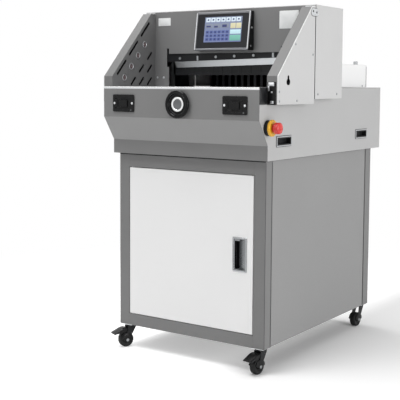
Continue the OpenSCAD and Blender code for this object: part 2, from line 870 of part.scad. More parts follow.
// Side view of a pedal: from its barrel out over the wheel, tread turned down
module pedal_side() {
    reach = pivot_y - pedal_l;
    polygon([[pivot_y, pivot_z + pedal_t], [pivot_y, pivot_z - 1],
        [-trail - pedal_bend, pivot_z - 4], [reach, pivot_z - pedal_drop],
        [reach - 1, pivot_z - pedal_drop + pedal_t], [1 - trail - pedal_bend, pivot_z - 3 + pedal_t]]);
}

module brake_pedal(i) color("#232426") caster(i) {
    arm_w = wheel_w - 2;
    difference() {
        union() {
            along_x(-arm_w / 2, arm_w) pedal_side();
            bar_x([-arm_w / 2, pivot_y, pivot_z], barrel_d, arm_w);
            translate([-arm_w / 2, -trail - shoe_l / 2, wheel_d + shoe_gap])
                cube([arm_w, shoe_l, pivot_z - 1 - wheel_d - shoe_gap]);
            intersection() {
                along_x(-tread_w / 2, tread_w) pedal_side();
                translate([-tread_w / 2, pivot_y - pedal_l - 2, 0]) cube([tread_w, tread_l, pivot_z]);
            }
        }
        bar_x([-arm_w, pivot_y, pivot_z], pivot_d + 2 * run_gap, 2 * arm_w);
    }
}

module caster_fork_front_left() { fork(0, true); }
module caster_fork_front_right() { fork(1, true); }
module caster_fork_rear_left() { fork(2, false); }
module caster_fork_rear_right() { fork(3, false); }
module caster_wheel_front_left() { wheel(0); }
module caster_wheel_front_right() { wheel(1); }
module caster_wheel_rear_left() { wheel(2); }
module caster_wheel_rear_right() { wheel(3); }
module brake_pedal_left() { brake_pedal(0); }
module brake_pedal_right() { brake_pedal(1); }

// Casing

// Front outline in depth and height from the table down, set back by o along its normal
function front_line(o, top) = [[o, top], [o, slant_z[0] + o * slant_bend],
    [slant_set + o, slant_z[1] + o * slant_bend], [slant_set + o, casing_z]];

function reversed(list) = [for (i = [len(list) - 1:-1:0]) list[i]];

module casing_tray() color("#8b8d90") machine() difference() {
    union() {
        translate([-inner, slant_set + sheet, casing_z])
            cube([2 * inner, casing_d - slant_set - sheet, floor_t]);
        translate([-inner, casing_d - sheet, casing_z]) cube([2 * inner, sheet, casing_h]);
    }
    translate([-inlet_x, 0, casing_z + inlet_up]) along_y(casing_d - sheet - e, sheet + 2 * e)
        square(inlet_body + [2, 2] * slide_gap, center = true);
}

module casing_sides() color("#c3c5c7") machine() difference() {
    both_sides() along_x(inner, sheet) polygon(concat(front_line(sheet, wing_low),
        [[casing_d, casing_z], [casing_d, table_z], [wing_set, table_z], [wing_set, wing_low]]));
    both_sides() for (y = [grip_front, grip_rear]) along_x(inner - e, sheet + 2 * e)
        translate([y, casing_z + grip_up])
            square([grip_l - 2 * grip_rim, grip_h - 2 * grip_rim], center = true);
    bar_x([inner - e, estop_set, estop_z], neck_d + 5, sheet + 2 * e);
}

module casing_front() color("#808284") machine() difference() {
    union() {
        along_x(-half, casing_w)
            polygon(concat(front_line(0, under_table), reversed(front_line(sheet, under_table))));
        translate([-inner, sheet, under_table - sheet]) cube([2 * inner, table_flange, sheet]);
        both_sides() translate([inner, sheet, wing_low])
            cube([sheet, wing_set - sheet, under_table - wing_low]);
    }
    both_sides() along_y(-e, sheet + 2 * e) translate([plate_x, control_z])
        square([button_w + 2 * (switch_wall + switch_room), button_h + 2 * (switch_wall + switch_room)],
            center = true);
    bar_y([wheel_side, -e, control_z], spindle_d + 2 * (spindle_wall + switch_room), sheet + 2 * e);
}

module side_grips() color("#1b1c1e") machine() both_sides() for (y = [grip_front, grip_rear])
    translate([0, y, casing_z + grip_up]) difference() {
        union() {
            along_x(half, pull_wall) square([grip_l, grip_h], center = true);
            along_x(half - grip_depth, grip_depth + e) square([grip_l - 2 * grip_rim - 2 * slide_gap,
                grip_h - 2 * grip_rim - 2 * slide_gap], center = true);
        }
        along_x(half - grip_depth + sheet, grip_depth + pull_wall)
            square([grip_l - 2 * grip_rim - 2 * slide_gap - 2 * sheet,
                grip_h - 2 * grip_rim - 2 * slide_gap - 2 * sheet], center = true);
    }

module work_table() color("#d4d6d8") machine() difference() {
    union() {
        translate([-inner, wing_set, under_table]) cube([2 * inner, casing_d - sheet - wing_set, table_t]);
        translate([-half, 0, under_table]) cube([casing_w, wing_set + e, table_t]);
        translate([-upright_x + slide_gap, knife_y - bed_w / 2, under_table - bed_h])
            cube([2 * (upright_x - slide_gap), bed_w, bed_h + e]);
    }
    both_sides() translate([upright_x - slide_gap, upright_y - slide_gap, under_table - e])
        cube([upright_t + sheet + 2 * slide_gap, upright_d + 2 * slide_gap, table_t + 2 * e]);
    translate([-stick_l / 2, knife_y - stick_w / 2, table_z - stick_h]) cube([stick_l, stick_w, stick_h + e]);
    translate([-link_x - knife_shift - link_w / 2 - 4, link_y - 3, under_table - bed_h - e])
        cube([knife_shift + link_w + 8, link_t + 6, table_t + bed_h + 2 * e]);
    translate([-slot_w / 2, block_front + block_t, under_table - e])
        cube([slot_w, block_rear - block_front - block_t, table_t + 2 * e]);
}

module cutting_stick() color("#b3232a") machine()
    translate([-stick_l / 2, knife_y - stick_w / 2, table_z - stick_h]) cube([stick_l, stick_w, stick_h]);

// Wings

// Side outline of a wing, set in by o
function wing_outline(o) = let (half_lean = tan(wing_lean / 2), rest_lean = tan(45 - wing_lean / 2)) [
    [wing_set + o, wing_low + o], [wing_set + o, wing_nose_z - o * half_lean],
    [head_set - wing_top + o * rest_lean, wing_high - o], [head_set - o, wing_high - o],
    [head_set - o, wing_low + o]];

module along_wing(start, pitch, n) for (i = [0:n - 1])
    translate(start + [0, table_z] + i * pitch * wing_dir) rotate(90 - wing_lean) children();

module light_windows(d) along_wing(window_at, window_pitch, window_n) circle(d = d);

module wing_vents() {
    along_wing(vent_at, vent_pitch, 3) slot(vent_long, vent_w);
    for (row = [0:vent_rows - 1], i = [0:row])
        translate([head_set - vent_top[0] - i * vent_step[0], table_z + vent_top[1] - row * vent_step[1]])
            rotate(90 - wing_lean) slot(vent_short, vent_w);
}

module wing_shell() color("#747678") difference() {
    along_x(half, wing_t - sheet) polygon(wing_outline(0));
    along_x(half + sheet, wing_t) polygon(wing_outline(sheet));
    along_x(half - e, sheet + 2 * e) {
        wing_vents();
        light_windows(window_d);
    }
}

module left_wing_shell() machine() mirror([1, 0, 0]) wing_shell();
module right_wing_shell() machine() wing_shell();

module wing_covers() color("#d9dbdd") machine() both_sides() difference() {
    along_x(half + wing_t - sheet, sheet) polygon(wing_outline(0));
    along_x(half + wing_t - sheet - e, sheet + 2 * e) {
        translate(key_at + [0, table_z]) circle(d = key_d);
        translate(key_at + [-key_d / 4, table_z]) square([key_d / 2, key_d * 1.2]);
        translate([head_set - cover_seam, wing_low - e]) square([cover_seam + e, head_z - wing_low]);
    }
}

module light_curtain_bars() color("#26282b") machine() both_sides() {
    along_x(half + sheet, bar_t) translate([0, table_z] + window_at) rotate(90 - wing_lean)
        translate([-bar_w / 2, -bar_w / 2]) square([(window_n - 1) * window_pitch + bar_w, bar_w]);
    along_x(half, sheet + e) light_windows(window_d - 2 * slide_gap);
}

// Head

module head_frame() color("#5d6063") machine() {
    both_sides() translate([upright_x, upright_y, casing_z + floor_t])
        cube([upright_t, upright_d, head_z - wing_step - casing_z - floor_t]);
    difference() {
        translate([-upright_x - e, web_y, beam_z]) cube([2 * (upright_x + e), beam_back - web_y, beam_t]);
        translate([0, clamp_screw_y, beam_z - e])
            cylinder(d = clamp_screw_d + 2 * run_gap, h = beam_t + 2 * e);
    }
    for (y = [web_y, beam_back - beam_t])
        translate([-upright_x, y, beam_z - web_h])
            cube([2 * upright_x, y == web_y ? web_t : beam_t, web_h + beam_t]);
    for (x = roller_x) bar_y([x, carrier_y + 1, roller_z], roller_d, carrier_t + 1);
}

module head_front_panel() color("#6e7072") machine() difference() {
    translate([-half, head_set, table_z]) cube([casing_w, sheet, head_h - sheet]);
    translate([-throat_left, head_set - e, table_z - e])
        cube([throat_left + throat_right, sheet + 2 * e, throat_h + e]);
    for (x = [-throat_left - end_slot_w, throat_right])
        translate([x, head_set - e, table_z + end_slot_low])
            cube([end_slot_w, sheet + 2 * e, end_slot_high - end_slot_low]);
}

module head_side_covers() color("#d9dbdd") machine() both_sides() difference() {
    low = table_z - cover_drop;
    translate([half, head_set, low]) cube([wing_t, head_d, head_z - low]);
    translate([half - e, head_set + sheet, low + sheet])
        cube([wing_t - sheet + e, head_d - 2 * sheet, head_z - low - 2 * sheet]);
}

module head_hood() color("#d2d4d6") machine() {
    translate([-half, head_set, head_z - sheet]) cube([casing_w, head_d, sheet]);
    translate([-half, head_back - sheet, rear_high + 2])
        cube([casing_w, sheet, head_z - rear_high - 2 - e]);
    both_sides() translate([rear_w / 2 + 1, head_back - sheet, table_z])
        cube([half - rear_w / 2 - 1, sheet, rear_h + 2 + e]);
    both_sides() translate([rear_w / 2 + 1, 0, 0]) difference() {
        translate([0, head_back - sheet, rear_axis_z - rear_boss])
            cube([lug_t, rear_gap + rear_axis_back + rear_boss / 2 + sheet,
                rear_boss + rear_axis_drop + 8]);
        bar_x([-e, rear_axis_y, rear_axis_z], rear_pin_d + 2 * run_gap, lug_t + 2 * e);
    }
}

// Screen

module screen_face()
    translate([0, head_set - screen_foot, screen_low]) rotate([-screen_lean, 0, 0]) children();

module screen_housing() color("#1f2124") machine() along_x(-screen_w / 2, screen_w) polygon([
    [head_set - screen_foot, screen_low], [head_set - screen_head, screen_high],
    [head_set, screen_high], [head_set, screen_low]]);

module screen_frame() color("#c4c7ca") machine() screen_face() difference() {
    translate([-screen_w / 2, -frame_t, 0]) cube([screen_w, frame_t, face_h]);
    translate([-screen_w / 2 + frame_w, -frame_t - e, frame_w])
        cube([screen_w - 2 * frame_w, frame_t + 2 * e, face_h - 2 * frame_w]);
}

module touch_glass() color("#4a5aa0") machine() screen_face()
    translate([-screen_w / 2 + frame_w, -glass_t, frame_w])
        cube([screen_w - 2 * frame_w, glass_t, face_h - 2 * frame_w]);

// Controls

// Recess of a button plate: a rounded field with an ear left round each screw
module well() difference() {
    rounded(well_w, well_h, 4);
    for (s = [-1, 1]) translate([s * (pad_w / 2 - ear_in), 0]) circle(ear_r);
}

module button_plates() color("#1d1e20") machine()
both_sides() translate([plate_x, 0, control_z]) difference() {
    union() {
        along_y(-pad_t, pad_t) rounded(pad_w, pad_h, pad_r);
        along_y(-e, sheet + switch_l)
            square([button_w + 2 * switch_wall, button_h + 2 * switch_wall], center = true);
    }
    along_y(-pad_t - e, well_depth + e) well();
    along_y(-pad_t, pad_t + button_travel + slide_gap)
        rounded(button_w + 2 * slide_gap, button_h + 2 * slide_gap, button_r + slide_gap);
    bar_y([0, 0, 0], stem_d + 2 * run_gap, switch_l);
}

module cut_button() color("#2b2d30") translate([plate_x, 0, control_z]) {
    along_y(well_depth - pad_t - button_rise, button_rise + pad_t - well_depth)
        rounded(button_w, button_h, button_r);
    bar_y([0, -1, 0], stem_d, switch_l - button_travel - 2);
}

module left_cut_button() machine() mirror([1, 0, 0]) cut_button();
module right_cut_button() machine() cut_button();

// Handwheel pieces are turned profiles of radius and distance from the panel
module turned(points)
    translate([wheel_side, 0, control_z]) rotate([90, 0, 0]) rotate_extrude($fn = 96) polygon(points);

module handwheel_base() color("#2a2c2e") machine()
    let (boss = spindle_d / 2 + spindle_wall, r = wheel_base_d / 2)
    turned([[0, -sheet], [boss, -sheet], [boss, 0], [r, 0], [r, wheel_base_t - 1], [r - 1, wheel_base_t],
        [boss, wheel_base_t], [boss, wheel_base_t + collar_h], [spindle_d / 2, wheel_base_t + collar_h],
        [spindle_d / 2, dish_z - slide_gap], [0, dish_z - slide_gap]]);

module handwheel() color("#17181a") machine() let (r = wheel_dia / 2, bore = spindle_d / 2 + run_gap,
    back = wheel_face - rim_t) turned([[bore, back], [r - 6, back], [r - 1.5, back + 2], [r, back + 5],
        [r, wheel_face - 5], [r - 1.5, wheel_face - 2], [r - 5, wheel_face], [r - 8, wheel_face - 1],
        [r - 11, wheel_face - 4], [r - 14, dish_z], [bore, dish_z]]);

module handwheel_cap() color("#c9ccce") machine() let (r = ring_d / 2, top = dish_z + cap_h)
    turned([[0, dish_z], [r, dish_z], [r, top - 1], [r - 1, top], [r - ring_w, top],
        [r - ring_w - 1, top - 1.5], [0, top - 1.5]]);

// Emergency stop pieces are turned profiles of radius and distance from the side panel
module turned_right(points)
    translate([half, estop_set, estop_z]) rotate([0, 90, 0]) rotate_extrude($fn = 96) polygon(points);

module estop_collar() color("#e8c21e") machine()
    let (bore = neck_d / 2 + run_gap, foot = collar_foot_d / 2, r = collar_d / 2, back = collar_l - collar_t)
    turned_right([[bore, -sheet - 8], [bore + 2, -sheet - 8], [bore + 2, 0], [foot, 0], [foot, back],
        [r - 1, back], [r, back + 1], [r, collar_l - 3], [r - 3, collar_l], [bore, collar_l]]);

module estop_button() color("#c2251f") machine() let (r = mushroom_d / 2, foot = collar_l + estop_gap)
    turned_right([[0, -sheet], [neck_d / 2, -sheet], [neck_d / 2, foot], [r - 1, foot], [r, foot + 2],
        [r, foot + mushroom_t - 8], [r - 3, foot + mushroom_t - 3], [r - 9, foot + mushroom_t],
        [0, foot + mushroom_t]]);

// Knife

// Tilts a piece drawn level up to the right about the link pin, as the knife hangs at rest
module tilted() machine() translate([-link_x, 0, link_z]) rotate([0, -knife_tilt, 0])
    translate([link_x, 0, -link_z]) children();

// Way of a roller through the carrier over the whole stroke, from its place at rest
function roller_way(x) =
    let (c = cos(knife_tilt), s = sin(knife_tilt), from = [x + link_x, roller_z - link_z],
        to = from + [knife_shift, knife_drop])
    [to[0] * c - to[1] * s, to[0] * s + to[1] * c] - from;

module roller_slot(x) let (way = roller_way(x), l = norm(way), w = roller_d + 2 * roller_gap)
    along_y(carrier_y - e, carrier_t + 2 * e) translate([x, roller_z] + way / 2)
        rotate(atan2(way[1], way[0])) slot(l + w, w);

module knife_carrier() color("#232427") {
    difference() {
        tilted() difference() {
            translate([-link_x - carrier_left, carrier_y, carrier_low])
                cube([link_x + carrier_left + carrier_right, carrier_t, carrier_h]);
            translate([blade_left - blade_seat, knife_y - blade_t, carrier_low - e])
                cube([blade_l + 2 * blade_seat, blade_t + e, blade_h - blade_show + blade_seat + e]);
        }
        machine() for (x = roller_x) roller_slot(x);
    }
    machine() bar_y([-link_x, knife_y - 4, link_z], link_pin_d, 4 + link_gap + link_t + 0.5);
}

module knife_blade() color("#dfe3e6") tilted() along_x(blade_left, blade_l) polygon([
    [knife_y, edge_z], [knife_y, edge_z + blade_h], [knife_y - blade_t, edge_z + blade_h],
    [knife_y - blade_t, edge_z + blade_show + 3]]);

module knife_bolts() color("#d8dadc") tilted() for (i = [0:bolt_n - 1])
    if (i % 4 == 1) translate([bolt_left + i * bolt_pitch - 4, carrier_y - bolt_t, carrier_low + 1])
        cube([8, bolt_t, bolt_up + 6]);
    else bar_y([bolt_left + i * bolt_pitch, carrier_y - bolt_t, carrier_low + bolt_up], bolt_d, bolt_t);

module pull_link() color("#8c9093") machine() difference() {
    along_y(link_y, link_t) translate([-link_x, link_z - link_l / 2]) {
        square([link_w - 6, link_l], center = true);
        for (s = [-1, 1]) translate([0, s * link_l / 2]) circle(d = link_w);
    }
    for (z = [link_z, link_z - link_l])
        bar_y([-link_x, link_y - e, z], link_pin_d + 2 * run_gap, link_t + 2 * e);
}

module crank_arm() color("#7a7d80") machine() translate([crank_x, 0, crank_z]) {
    along_y(crank_y, crank_t) rotate(90 - crank_angle) {
        translate([0, -9]) square([crank_r, 18]);
        circle(d = crank_shaft_d + 12);
        translate([crank_r, 0]) circle(d = link_pin_d + 8);
    }
    rotate([0, crank_angle, 0]) bar_y([0, crank_y - 5, crank_r], link_pin_d, 6);
    bar_y([0, crank_y + crank_t - e, 0], crank_shaft_d, gearbox_y - crank_y - crank_t + shaft_seat);
}

module knife_gearmotor() color("#4f5357") machine() translate([crank_x, gearbox_y, crank_z]) difference() {
    union() {
        translate([-crank_shaft_d / 2 - 4, 0, casing_z + floor_t - crank_z]) cube(gearbox);
        bar_y([gearbox[0] / 2 - crank_shaft_d / 2 - 4, gearbox[1] - e, 0], motor_d, motor_l);
    }
    bar_y([0, -e, 0], crank_shaft_d + 2 * run_gap, shaft_seat + 1);
}

// Clamp

module clamp_beam() color("#202225") machine() difference() {
    union() {
        translate([-clamp_l / 2, clamp_y, clamp_low]) cube([clamp_l, clamp_back - clamp_y, clamp_foot_h]);
        translate([-clamp_l / 2, clamp_back - clamp_t, clamp_low]) cube([clamp_l, clamp_t, clamp_h]);
        translate([-upright_x + slide_gap, clamp_back - clamp_t + 4, clamp_low + clamp_h - clamp_ear])
            cube([2 * (upright_x - slide_gap), upright_y + 18 - clamp_back + clamp_t - 4, clamp_ear]);
    }
    translate([-clamp_l / 2 - e, clamp_back, clamp_low + clamp_h - clamp_ear - e])
        cube([clamp_l + 2 * e, upright_d, clamp_ear + 2 * e]);
    for (i = [0:clamp_ribs - 1])
        translate([-clamp_l / 2 + (i + 0.5) * clamp_l / clamp_ribs - clamp_l / clamp_ribs * 0.35,
            clamp_y - e, clamp_low + 8])
            cube([clamp_l / clamp_ribs * 0.7, clamp_rib_t + e, clamp_foot_h]);
    translate([0, clamp_screw_y, clamp_low + clamp_floor])
        cylinder(d = clamp_screw_d + 2 * run_gap, h = clamp_h);
}

module clamp_screw() color("#a9adb0") machine()
    translate([0, clamp_screw_y, clamp_low + clamp_rise + clamp_floor + 1])
        cylinder(d = clamp_screw_d,
            h = beam_z + beam_t - clamp_low - clamp_rise - clamp_floor - 1 - slide_gap);

module screw_motors() color("#303338") machine() {
    translate([-screw_motor / 2, clamp_screw_y - screw_motor / 2, beam_z + beam_t])
        cube([screw_motor, screw_motor, screw_motor_l]);
    translate([-screw_motor / 2, block_rear + block_t, rod_z - screw_motor / 2])
        cube([screw_motor, screw_motor_l, screw_motor]);
}

// Back gauge

module back_gauge() color("#b9bdc0") machine() difference() {
    union() {
        translate([-gauge_w / 2, gauge_y + finger_l, table_z + slide_gap]) cube([gauge_w, gauge_t, gauge_h]);
        for (i = [0:finger_n - 1])
            translate([-gauge_w / 2 + i * (gauge_w - finger_w) / (finger_n - 1), gauge_y,
                table_z + slide_gap])
                cube([finger_w, finger_l + e, gauge_h]);
        translate([-slot_w / 2 + web_gap, carriage_y + 2, rod_z])
            cube([slot_w - 2 * web_gap, carriage_l - 4, rod_drop + slide_gap + e]);
        translate([-carriage_w / 2, carriage_y, rod_z - carriage_h / 2])
            cube([carriage_w, carriage_l, carriage_h]);
    }
    for (x = [-rod_x, rod_x])
        bar_y([x, carriage_y - e, rod_z], rod_d + 2 * run_gap, carriage_l + 2 * e);
    bar_y([0, carriage_y - e, rod_z], gauge_screw_d + 2 * run_gap, carriage_l + 2 * e);
}

module gauge_rods() color("#9da1a4") machine() difference() {
    union() {
        for (y = [block_front, block_rear]) translate([-carriage_w / 2, y, block_low])
            cube([carriage_w, block_t, under_table - block_low]);
        for (x = [-rod_x, rod_x])
            bar_y([x, block_front + 1, rod_z], rod_d, block_rear + block_t - block_front - 2);
    }
    for (y = [block_front, block_rear])
        bar_y([0, y - e, rod_z], gauge_screw_d + 2 * run_gap, block_t + 2 * e);
}

module gauge_screw() color("#a9adb0") machine()
    bar_y([0, block_front, rod_z], gauge_screw_d, block_rear + block_t - slide_gap - block_front);

// Rear cover

module rear_cover() color("#e9eaeb") machine() difference() {
    union() {
        difference() {
            translate([-rear_w / 2, rear_y, table_z + rear_clear])
                cube([rear_w, rear_d, rear_h - rear_clear]);
            translate([-rear_w / 2 + sheet, rear_y - e, table_z])
                cube([rear_w - 2 * sheet, rear_d - sheet + e, rear_h - sheet]);
        }
        both_sides() {
            bar_x([rear_w / 2 - sheet - 6, rear_axis_y, rear_axis_z], rear_boss, sheet + 6);
            translate([rear_w / 2 - knob_in, rear_y + rear_d - knob_back, rear_high - e])
                cylinder(d = knob_d, h = knob_h + e);
        }
    }
    both_sides() bar_x([rear_w / 2 - sheet - 6 - e, rear_axis_y, rear_axis_z],
        rear_pin_d + 2 * run_gap, sheet + 6 + 2 * e);
}

module rear_cover_pins() color("#a8abae") machine() both_sides() {
    bar_x([rear_w / 2 - sheet - 6, rear_axis_y, rear_axis_z], rear_pin_d, sheet + 7 + lug_t + e);
    bar_x([rear_w / 2 + 1 + lug_t, rear_axis_y, rear_axis_z], rear_pin_d + 4, 2.5);
}

module power_inlet() color("#1a1b1d") machine() translate([-inlet_x, 0, casing_z + inlet_up]) difference() {
    union() {
        along_y(casing_d, sheet) rounded(inlet_w, inlet_h, 4);
        along_y(casing_d - inlet_d, inlet_d + e) square(inlet_body, center = true);
    }
    along_y(casing_d - inlet_d + inlet_back, inlet_d)
        rounded(inlet_body[0] - 2 * inlet_wall, inlet_body[1] - 2 * inlet_wall, inlet_wall);
}

stand_posts();
stand_rails();
stand_side_panels();
stand_rear_panel();
stand_floor();
stand_door();
door_pull();
door_hinge_pins();
caster_plates();
caster_fork_front_left();
caster_fork_front_right();
caster_fork_rear_left();
caster_fork_rear_right();
caster_wheel_front_left();
caster_wheel_front_right();
caster_wheel_rear_left();
caster_wheel_rear_right();
brake_pedal_left();
brake_pedal_right();
casing_tray();
casing_sides();
casing_front();
side_grips();
work_table();
cutting_stick();
left_wing_shell();
right_wing_shell();
wing_covers();
light_curtain_bars();
head_frame();
head_front_panel();
head_side_covers();
head_hood();
screen_housing();
screen_frame();
touch_glass();
button_plates();
left_cut_button();
right_cut_button();
handwheel_base();
handwheel();
handwheel_cap();
estop_collar();
estop_button();
knife_carrier();
knife_blade();
knife_bolts();
pull_link();
crank_arm();
knife_gearmotor();
clamp_beam();
clamp_screw();
screw_motors();
back_gauge();
gauge_rods();
gauge_screw();
rear_cover();
rear_cover_pins();
power_inlet();
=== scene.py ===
import json
import math
import bmesh
import bpy
import numpy as np
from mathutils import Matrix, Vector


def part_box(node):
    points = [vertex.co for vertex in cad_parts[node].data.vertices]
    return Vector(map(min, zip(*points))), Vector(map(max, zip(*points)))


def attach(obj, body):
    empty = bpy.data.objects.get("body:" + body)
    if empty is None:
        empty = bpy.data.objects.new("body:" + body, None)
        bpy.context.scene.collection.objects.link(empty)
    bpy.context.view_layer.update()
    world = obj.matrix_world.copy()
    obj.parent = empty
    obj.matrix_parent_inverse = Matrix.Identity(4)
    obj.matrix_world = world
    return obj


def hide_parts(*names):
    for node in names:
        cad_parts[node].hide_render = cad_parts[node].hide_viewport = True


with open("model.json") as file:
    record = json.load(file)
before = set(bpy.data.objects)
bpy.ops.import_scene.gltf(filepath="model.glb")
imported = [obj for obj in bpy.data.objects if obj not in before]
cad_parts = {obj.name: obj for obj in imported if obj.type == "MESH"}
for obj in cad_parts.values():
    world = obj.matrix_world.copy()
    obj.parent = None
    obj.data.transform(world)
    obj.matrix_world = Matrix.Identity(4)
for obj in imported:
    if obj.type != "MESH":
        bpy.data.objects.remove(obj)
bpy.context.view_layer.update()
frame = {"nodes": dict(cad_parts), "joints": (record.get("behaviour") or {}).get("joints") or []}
scene = bpy.context.scene
nodes = frame["nodes"]
joints = {joint["name"]: joint for joint in frame["joints"]}
print("frame loaded:", len(nodes), "nodes")


# Places are in millimetres, with y counted from the casing's front; the main faces come from the solids

mm = 0.001
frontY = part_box("casing_front")[0].y  # upper front face of the casing in the shared frame


def place(x, y, z):  # millimetres from the casing's front to the shared frame
    return np.array([x * mm, y * mm + frontY, z * mm])


def boxMm(name):  # a node's lowest corner, highest corner and middle
    low, high = ((np.array(corner) - (0, frontY, 0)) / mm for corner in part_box(name))
    return low, high, (low + high) / 2


(_, standFront, standFoot), (standSide, standRear, standTop), (_, standY, standZ) = boxMm("stand_posts")
_, (panelSide, _, _), _ = boxMm("stand_side_panels")
_, (_, standBack, _), _ = boxMm("stand_rear_panel")
_, (casingSide, casingRear, tableTop), _ = boxMm("casing_sides")
(_, wingFront, _), (_, _, wingTop), _ = boxMm("wing_covers")
_, (coverSide, headRear, headTop), _ = boxMm("head_side_covers")
(_, headFront, _), _, _ = boxMm("head_front_panel")
(_, screenFoot, screenLow), (screenSide, _, _), _ = boxMm("screen_housing")
_, (rearSide, _, _), _ = boxMm("rear_cover")
(_, buttonFace, _), _, _ = boxMm("button_plates")
_, _, (buttonX, _, buttonZ) = boxMm("right_cut_button")


# Camera, light and the room's values

camera = {"at": (1.93297, -3.16802, 1.02142), "turn": 34.438, "pitch": 4.68, "roll": -0.346,
          "lens": 83.198, "sensor": 36.0, "shift": -0.1}
lamps = {  # place, target, size in metres, power in watts
    "sideSoftbox": ((3.8, -0.5, 1.2), (0.3, 0.1, 0.85), 2.4, 82),
    "frontSoftbox": ((-1.4, -4.2, 2.2), (0.0, -0.3, 0.8), 2.2, 9),
    "floorSoftbox": ((-0.4, -1.6, 3.2), (-0.3, -1.6, 0.0), 1.6, 58),  # its light comes back up off the floor
    "topSoftbox": ((-1.8, 1.0, 3.4), (0.0, 0.0, 0.6), 2.0, 40),
}
room = {
    "horizon": 0.18, "zenith": 0.85,  # strength of the sky's light
    "floorHalf": 9.0, "floorSteps": 9, "floorColour": "#f4f4f4", "cloudScale": 1.2,
    "fade": (1.0, 2.2),  # metres from the middle over which the floor turns white
    "lift": (0.37, 0.0), "liftX": (0.08, 0.3),  # glow of the floor, and where it starts and ends falling off
}


def hexLinear(code):  # sRGB hex to linear colour
    part = np.array([int(code[i:i + 2], 16) for i in (1, 3, 5)]) / 255
    linear = np.where(part <= 0.04045, part / 12.92, ((part + 0.055) / 1.055) ** 2.4)
    return (*map(float, linear), 1.0)


def addNode(tree, kind, inputs=None, **settings):  # one node, its settings and its links
    node = tree.nodes.new(kind)
    for key, value in settings.items():
        setattr(node, key, value)
    for key, value in (inputs or {}).items():
        if isinstance(value, bpy.types.NodeSocket):
            tree.links.new(value, node.inputs[key])
        else:
            node.inputs[key].default_value = value
    return node


def setCamera():
    data = bpy.data.cameras.new("photoCamera")
    data.lens, data.sensor_width, data.shift_y = camera["lens"], camera["sensor"], camera["shift"]
    eye = bpy.data.objects.new("photoCamera", data)
    eye.location = camera["at"]
    eye.rotation_euler = [math.radians(a) for a in (90 - camera["pitch"], camera["roll"], camera["turn"])]
    scene.collection.objects.link(eye)
    scene.camera = eye


def backgroundRays(tree):  # 1 for rays that see the background: from the camera, in gloss and through glass
    rays = addNode(tree, "ShaderNodeLightPath").outputs
    direct = addNode(tree, "ShaderNodeMath", {0: rays["Is Camera Ray"], 1: rays["Is Glossy Ray"]},
                     operation="MAXIMUM")
    seen = addNode(tree, "ShaderNodeMath", {0: direct.outputs[0], 1: rays["Is Transmission Ray"]},
                   operation="MAXIMUM")
    return seen.outputs[0]


def setLights():
    for name, (at, target, size, power) in lamps.items():
        data = bpy.data.lights.new(name, "AREA")
        data.shape, data.size, data.energy = "DISK", size, power
        lamp = bpy.data.objects.new(name, data)
        lamp.location = at
        aim = np.array(target) - np.array(at)
        tilt, turn = math.atan2(math.hypot(aim[0], aim[1]), -aim[2]), math.atan2(-aim[0], aim[1])
        lamp.rotation_euler = (tilt, 0, turn)
        scene.collection.objects.link(lamp)
    world = bpy.data.worlds.new("studio")
    world.use_nodes = True
    tree = world.node_tree
    tree.nodes.clear()
    seen = backgroundRays(tree)
    ray = addNode(tree, "ShaderNodeTexCoord")
    axes = addNode(tree, "ShaderNodeSeparateXYZ", {0: ray.outputs["Generated"]})
    level = addNode(tree, "ShaderNodeMapRange", {"Value": axes.outputs["Z"], "To Min": room["horizon"],
                                                 "To Max": room["zenith"]})
    sky = addNode(tree, "ShaderNodeBackground", {"Color": (1, 1, 1, 1), "Strength": level.outputs[0]})
    sheet = addNode(tree, "ShaderNodeBackground", {"Color": (1, 1, 1, 1), "Strength": 1.0})
    both = addNode(tree, "ShaderNodeMixShader", {0: seen, 1: sky.outputs[0], 2: sheet.outputs[0]})
    addNode(tree, "ShaderNodeOutputWorld", {"Surface": both.outputs[0]})
    scene.world = world


scene.view_settings.view_transform = "Standard"
setCamera()
setLights()
print("camera and light set")


# Surfaces: every new piece is one or more grids of points worked out as whole arrays

sunk = 0.1  # millimetres that a plate or a screw goes into its seat
weld = 2e-6  # metres within which points become one


def facing(right, up):  # rows: right, up and outwards
    right, up = np.array(right, float), np.array(up, float)
    return np.stack([right, up, np.cross(right, up)])


toFront = facing((1, 0, 0), (0, 0, 1))
toRear = facing((-1, 0, 0), (0, 0, 1))
toRight = facing((0, 1, 0), (0, 0, 1))
toLeft = facing((0, -1, 0), (0, 0, 1))
toTop = facing((1, 0, 0), (0, 1, 0))
bothSides = ((1, toRight), (-1, toLeft))  # sign of x and facing


def turnedGrid(profile, centre, axis, steps=64, ripple=None, closed=False):
    # radius and distance along the axis, swept round it; ripple adds to the radius by row and angle
    profile = np.array(profile, float) * mm
    axis = np.array(axis, float) / np.linalg.norm(axis)
    guide = np.array([0, 0, 1.0]) if abs(axis[2]) < 0.9 else np.array([1.0, 0, 0])
    right = np.cross(guide, axis)
    right /= np.linalg.norm(right)
    up = np.cross(axis, right)
    angle = np.linspace(0, 2 * np.pi, steps, endpoint=False)
    radius = profile[:, :1] + (0 if ripple is None else ripple(angle) * mm)
    return (centre + (radius * np.cos(angle))[..., None] * right + (radius * np.sin(angle))[..., None] * up
            + profile[:, 1, None, None] * axis), closed, True


def arcProfile(r, d, radius, start, end, steps):  # part of a circle in the profile plane, angles in degrees
    angle = np.radians(np.linspace(start, end, steps))
    return np.column_stack([r + radius * np.cos(angle), d + radius * np.sin(angle)])


def roundRect(w, h, r, steps=6):  # outline: quarter circles about the four inset corners
    r = min(r, w / 2, h / 2)
    angle = np.arange(4)[:, None] * np.pi / 2 + np.linspace(0, np.pi / 2, steps)
    corner = np.array([[1, 1], [-1, 1], [-1, -1], [1, -1]]) * [w / 2 - r, h / 2 - r]
    return (corner[:, None] + r * np.stack([np.cos(angle), np.sin(angle)], -1)).reshape(-1, 2)


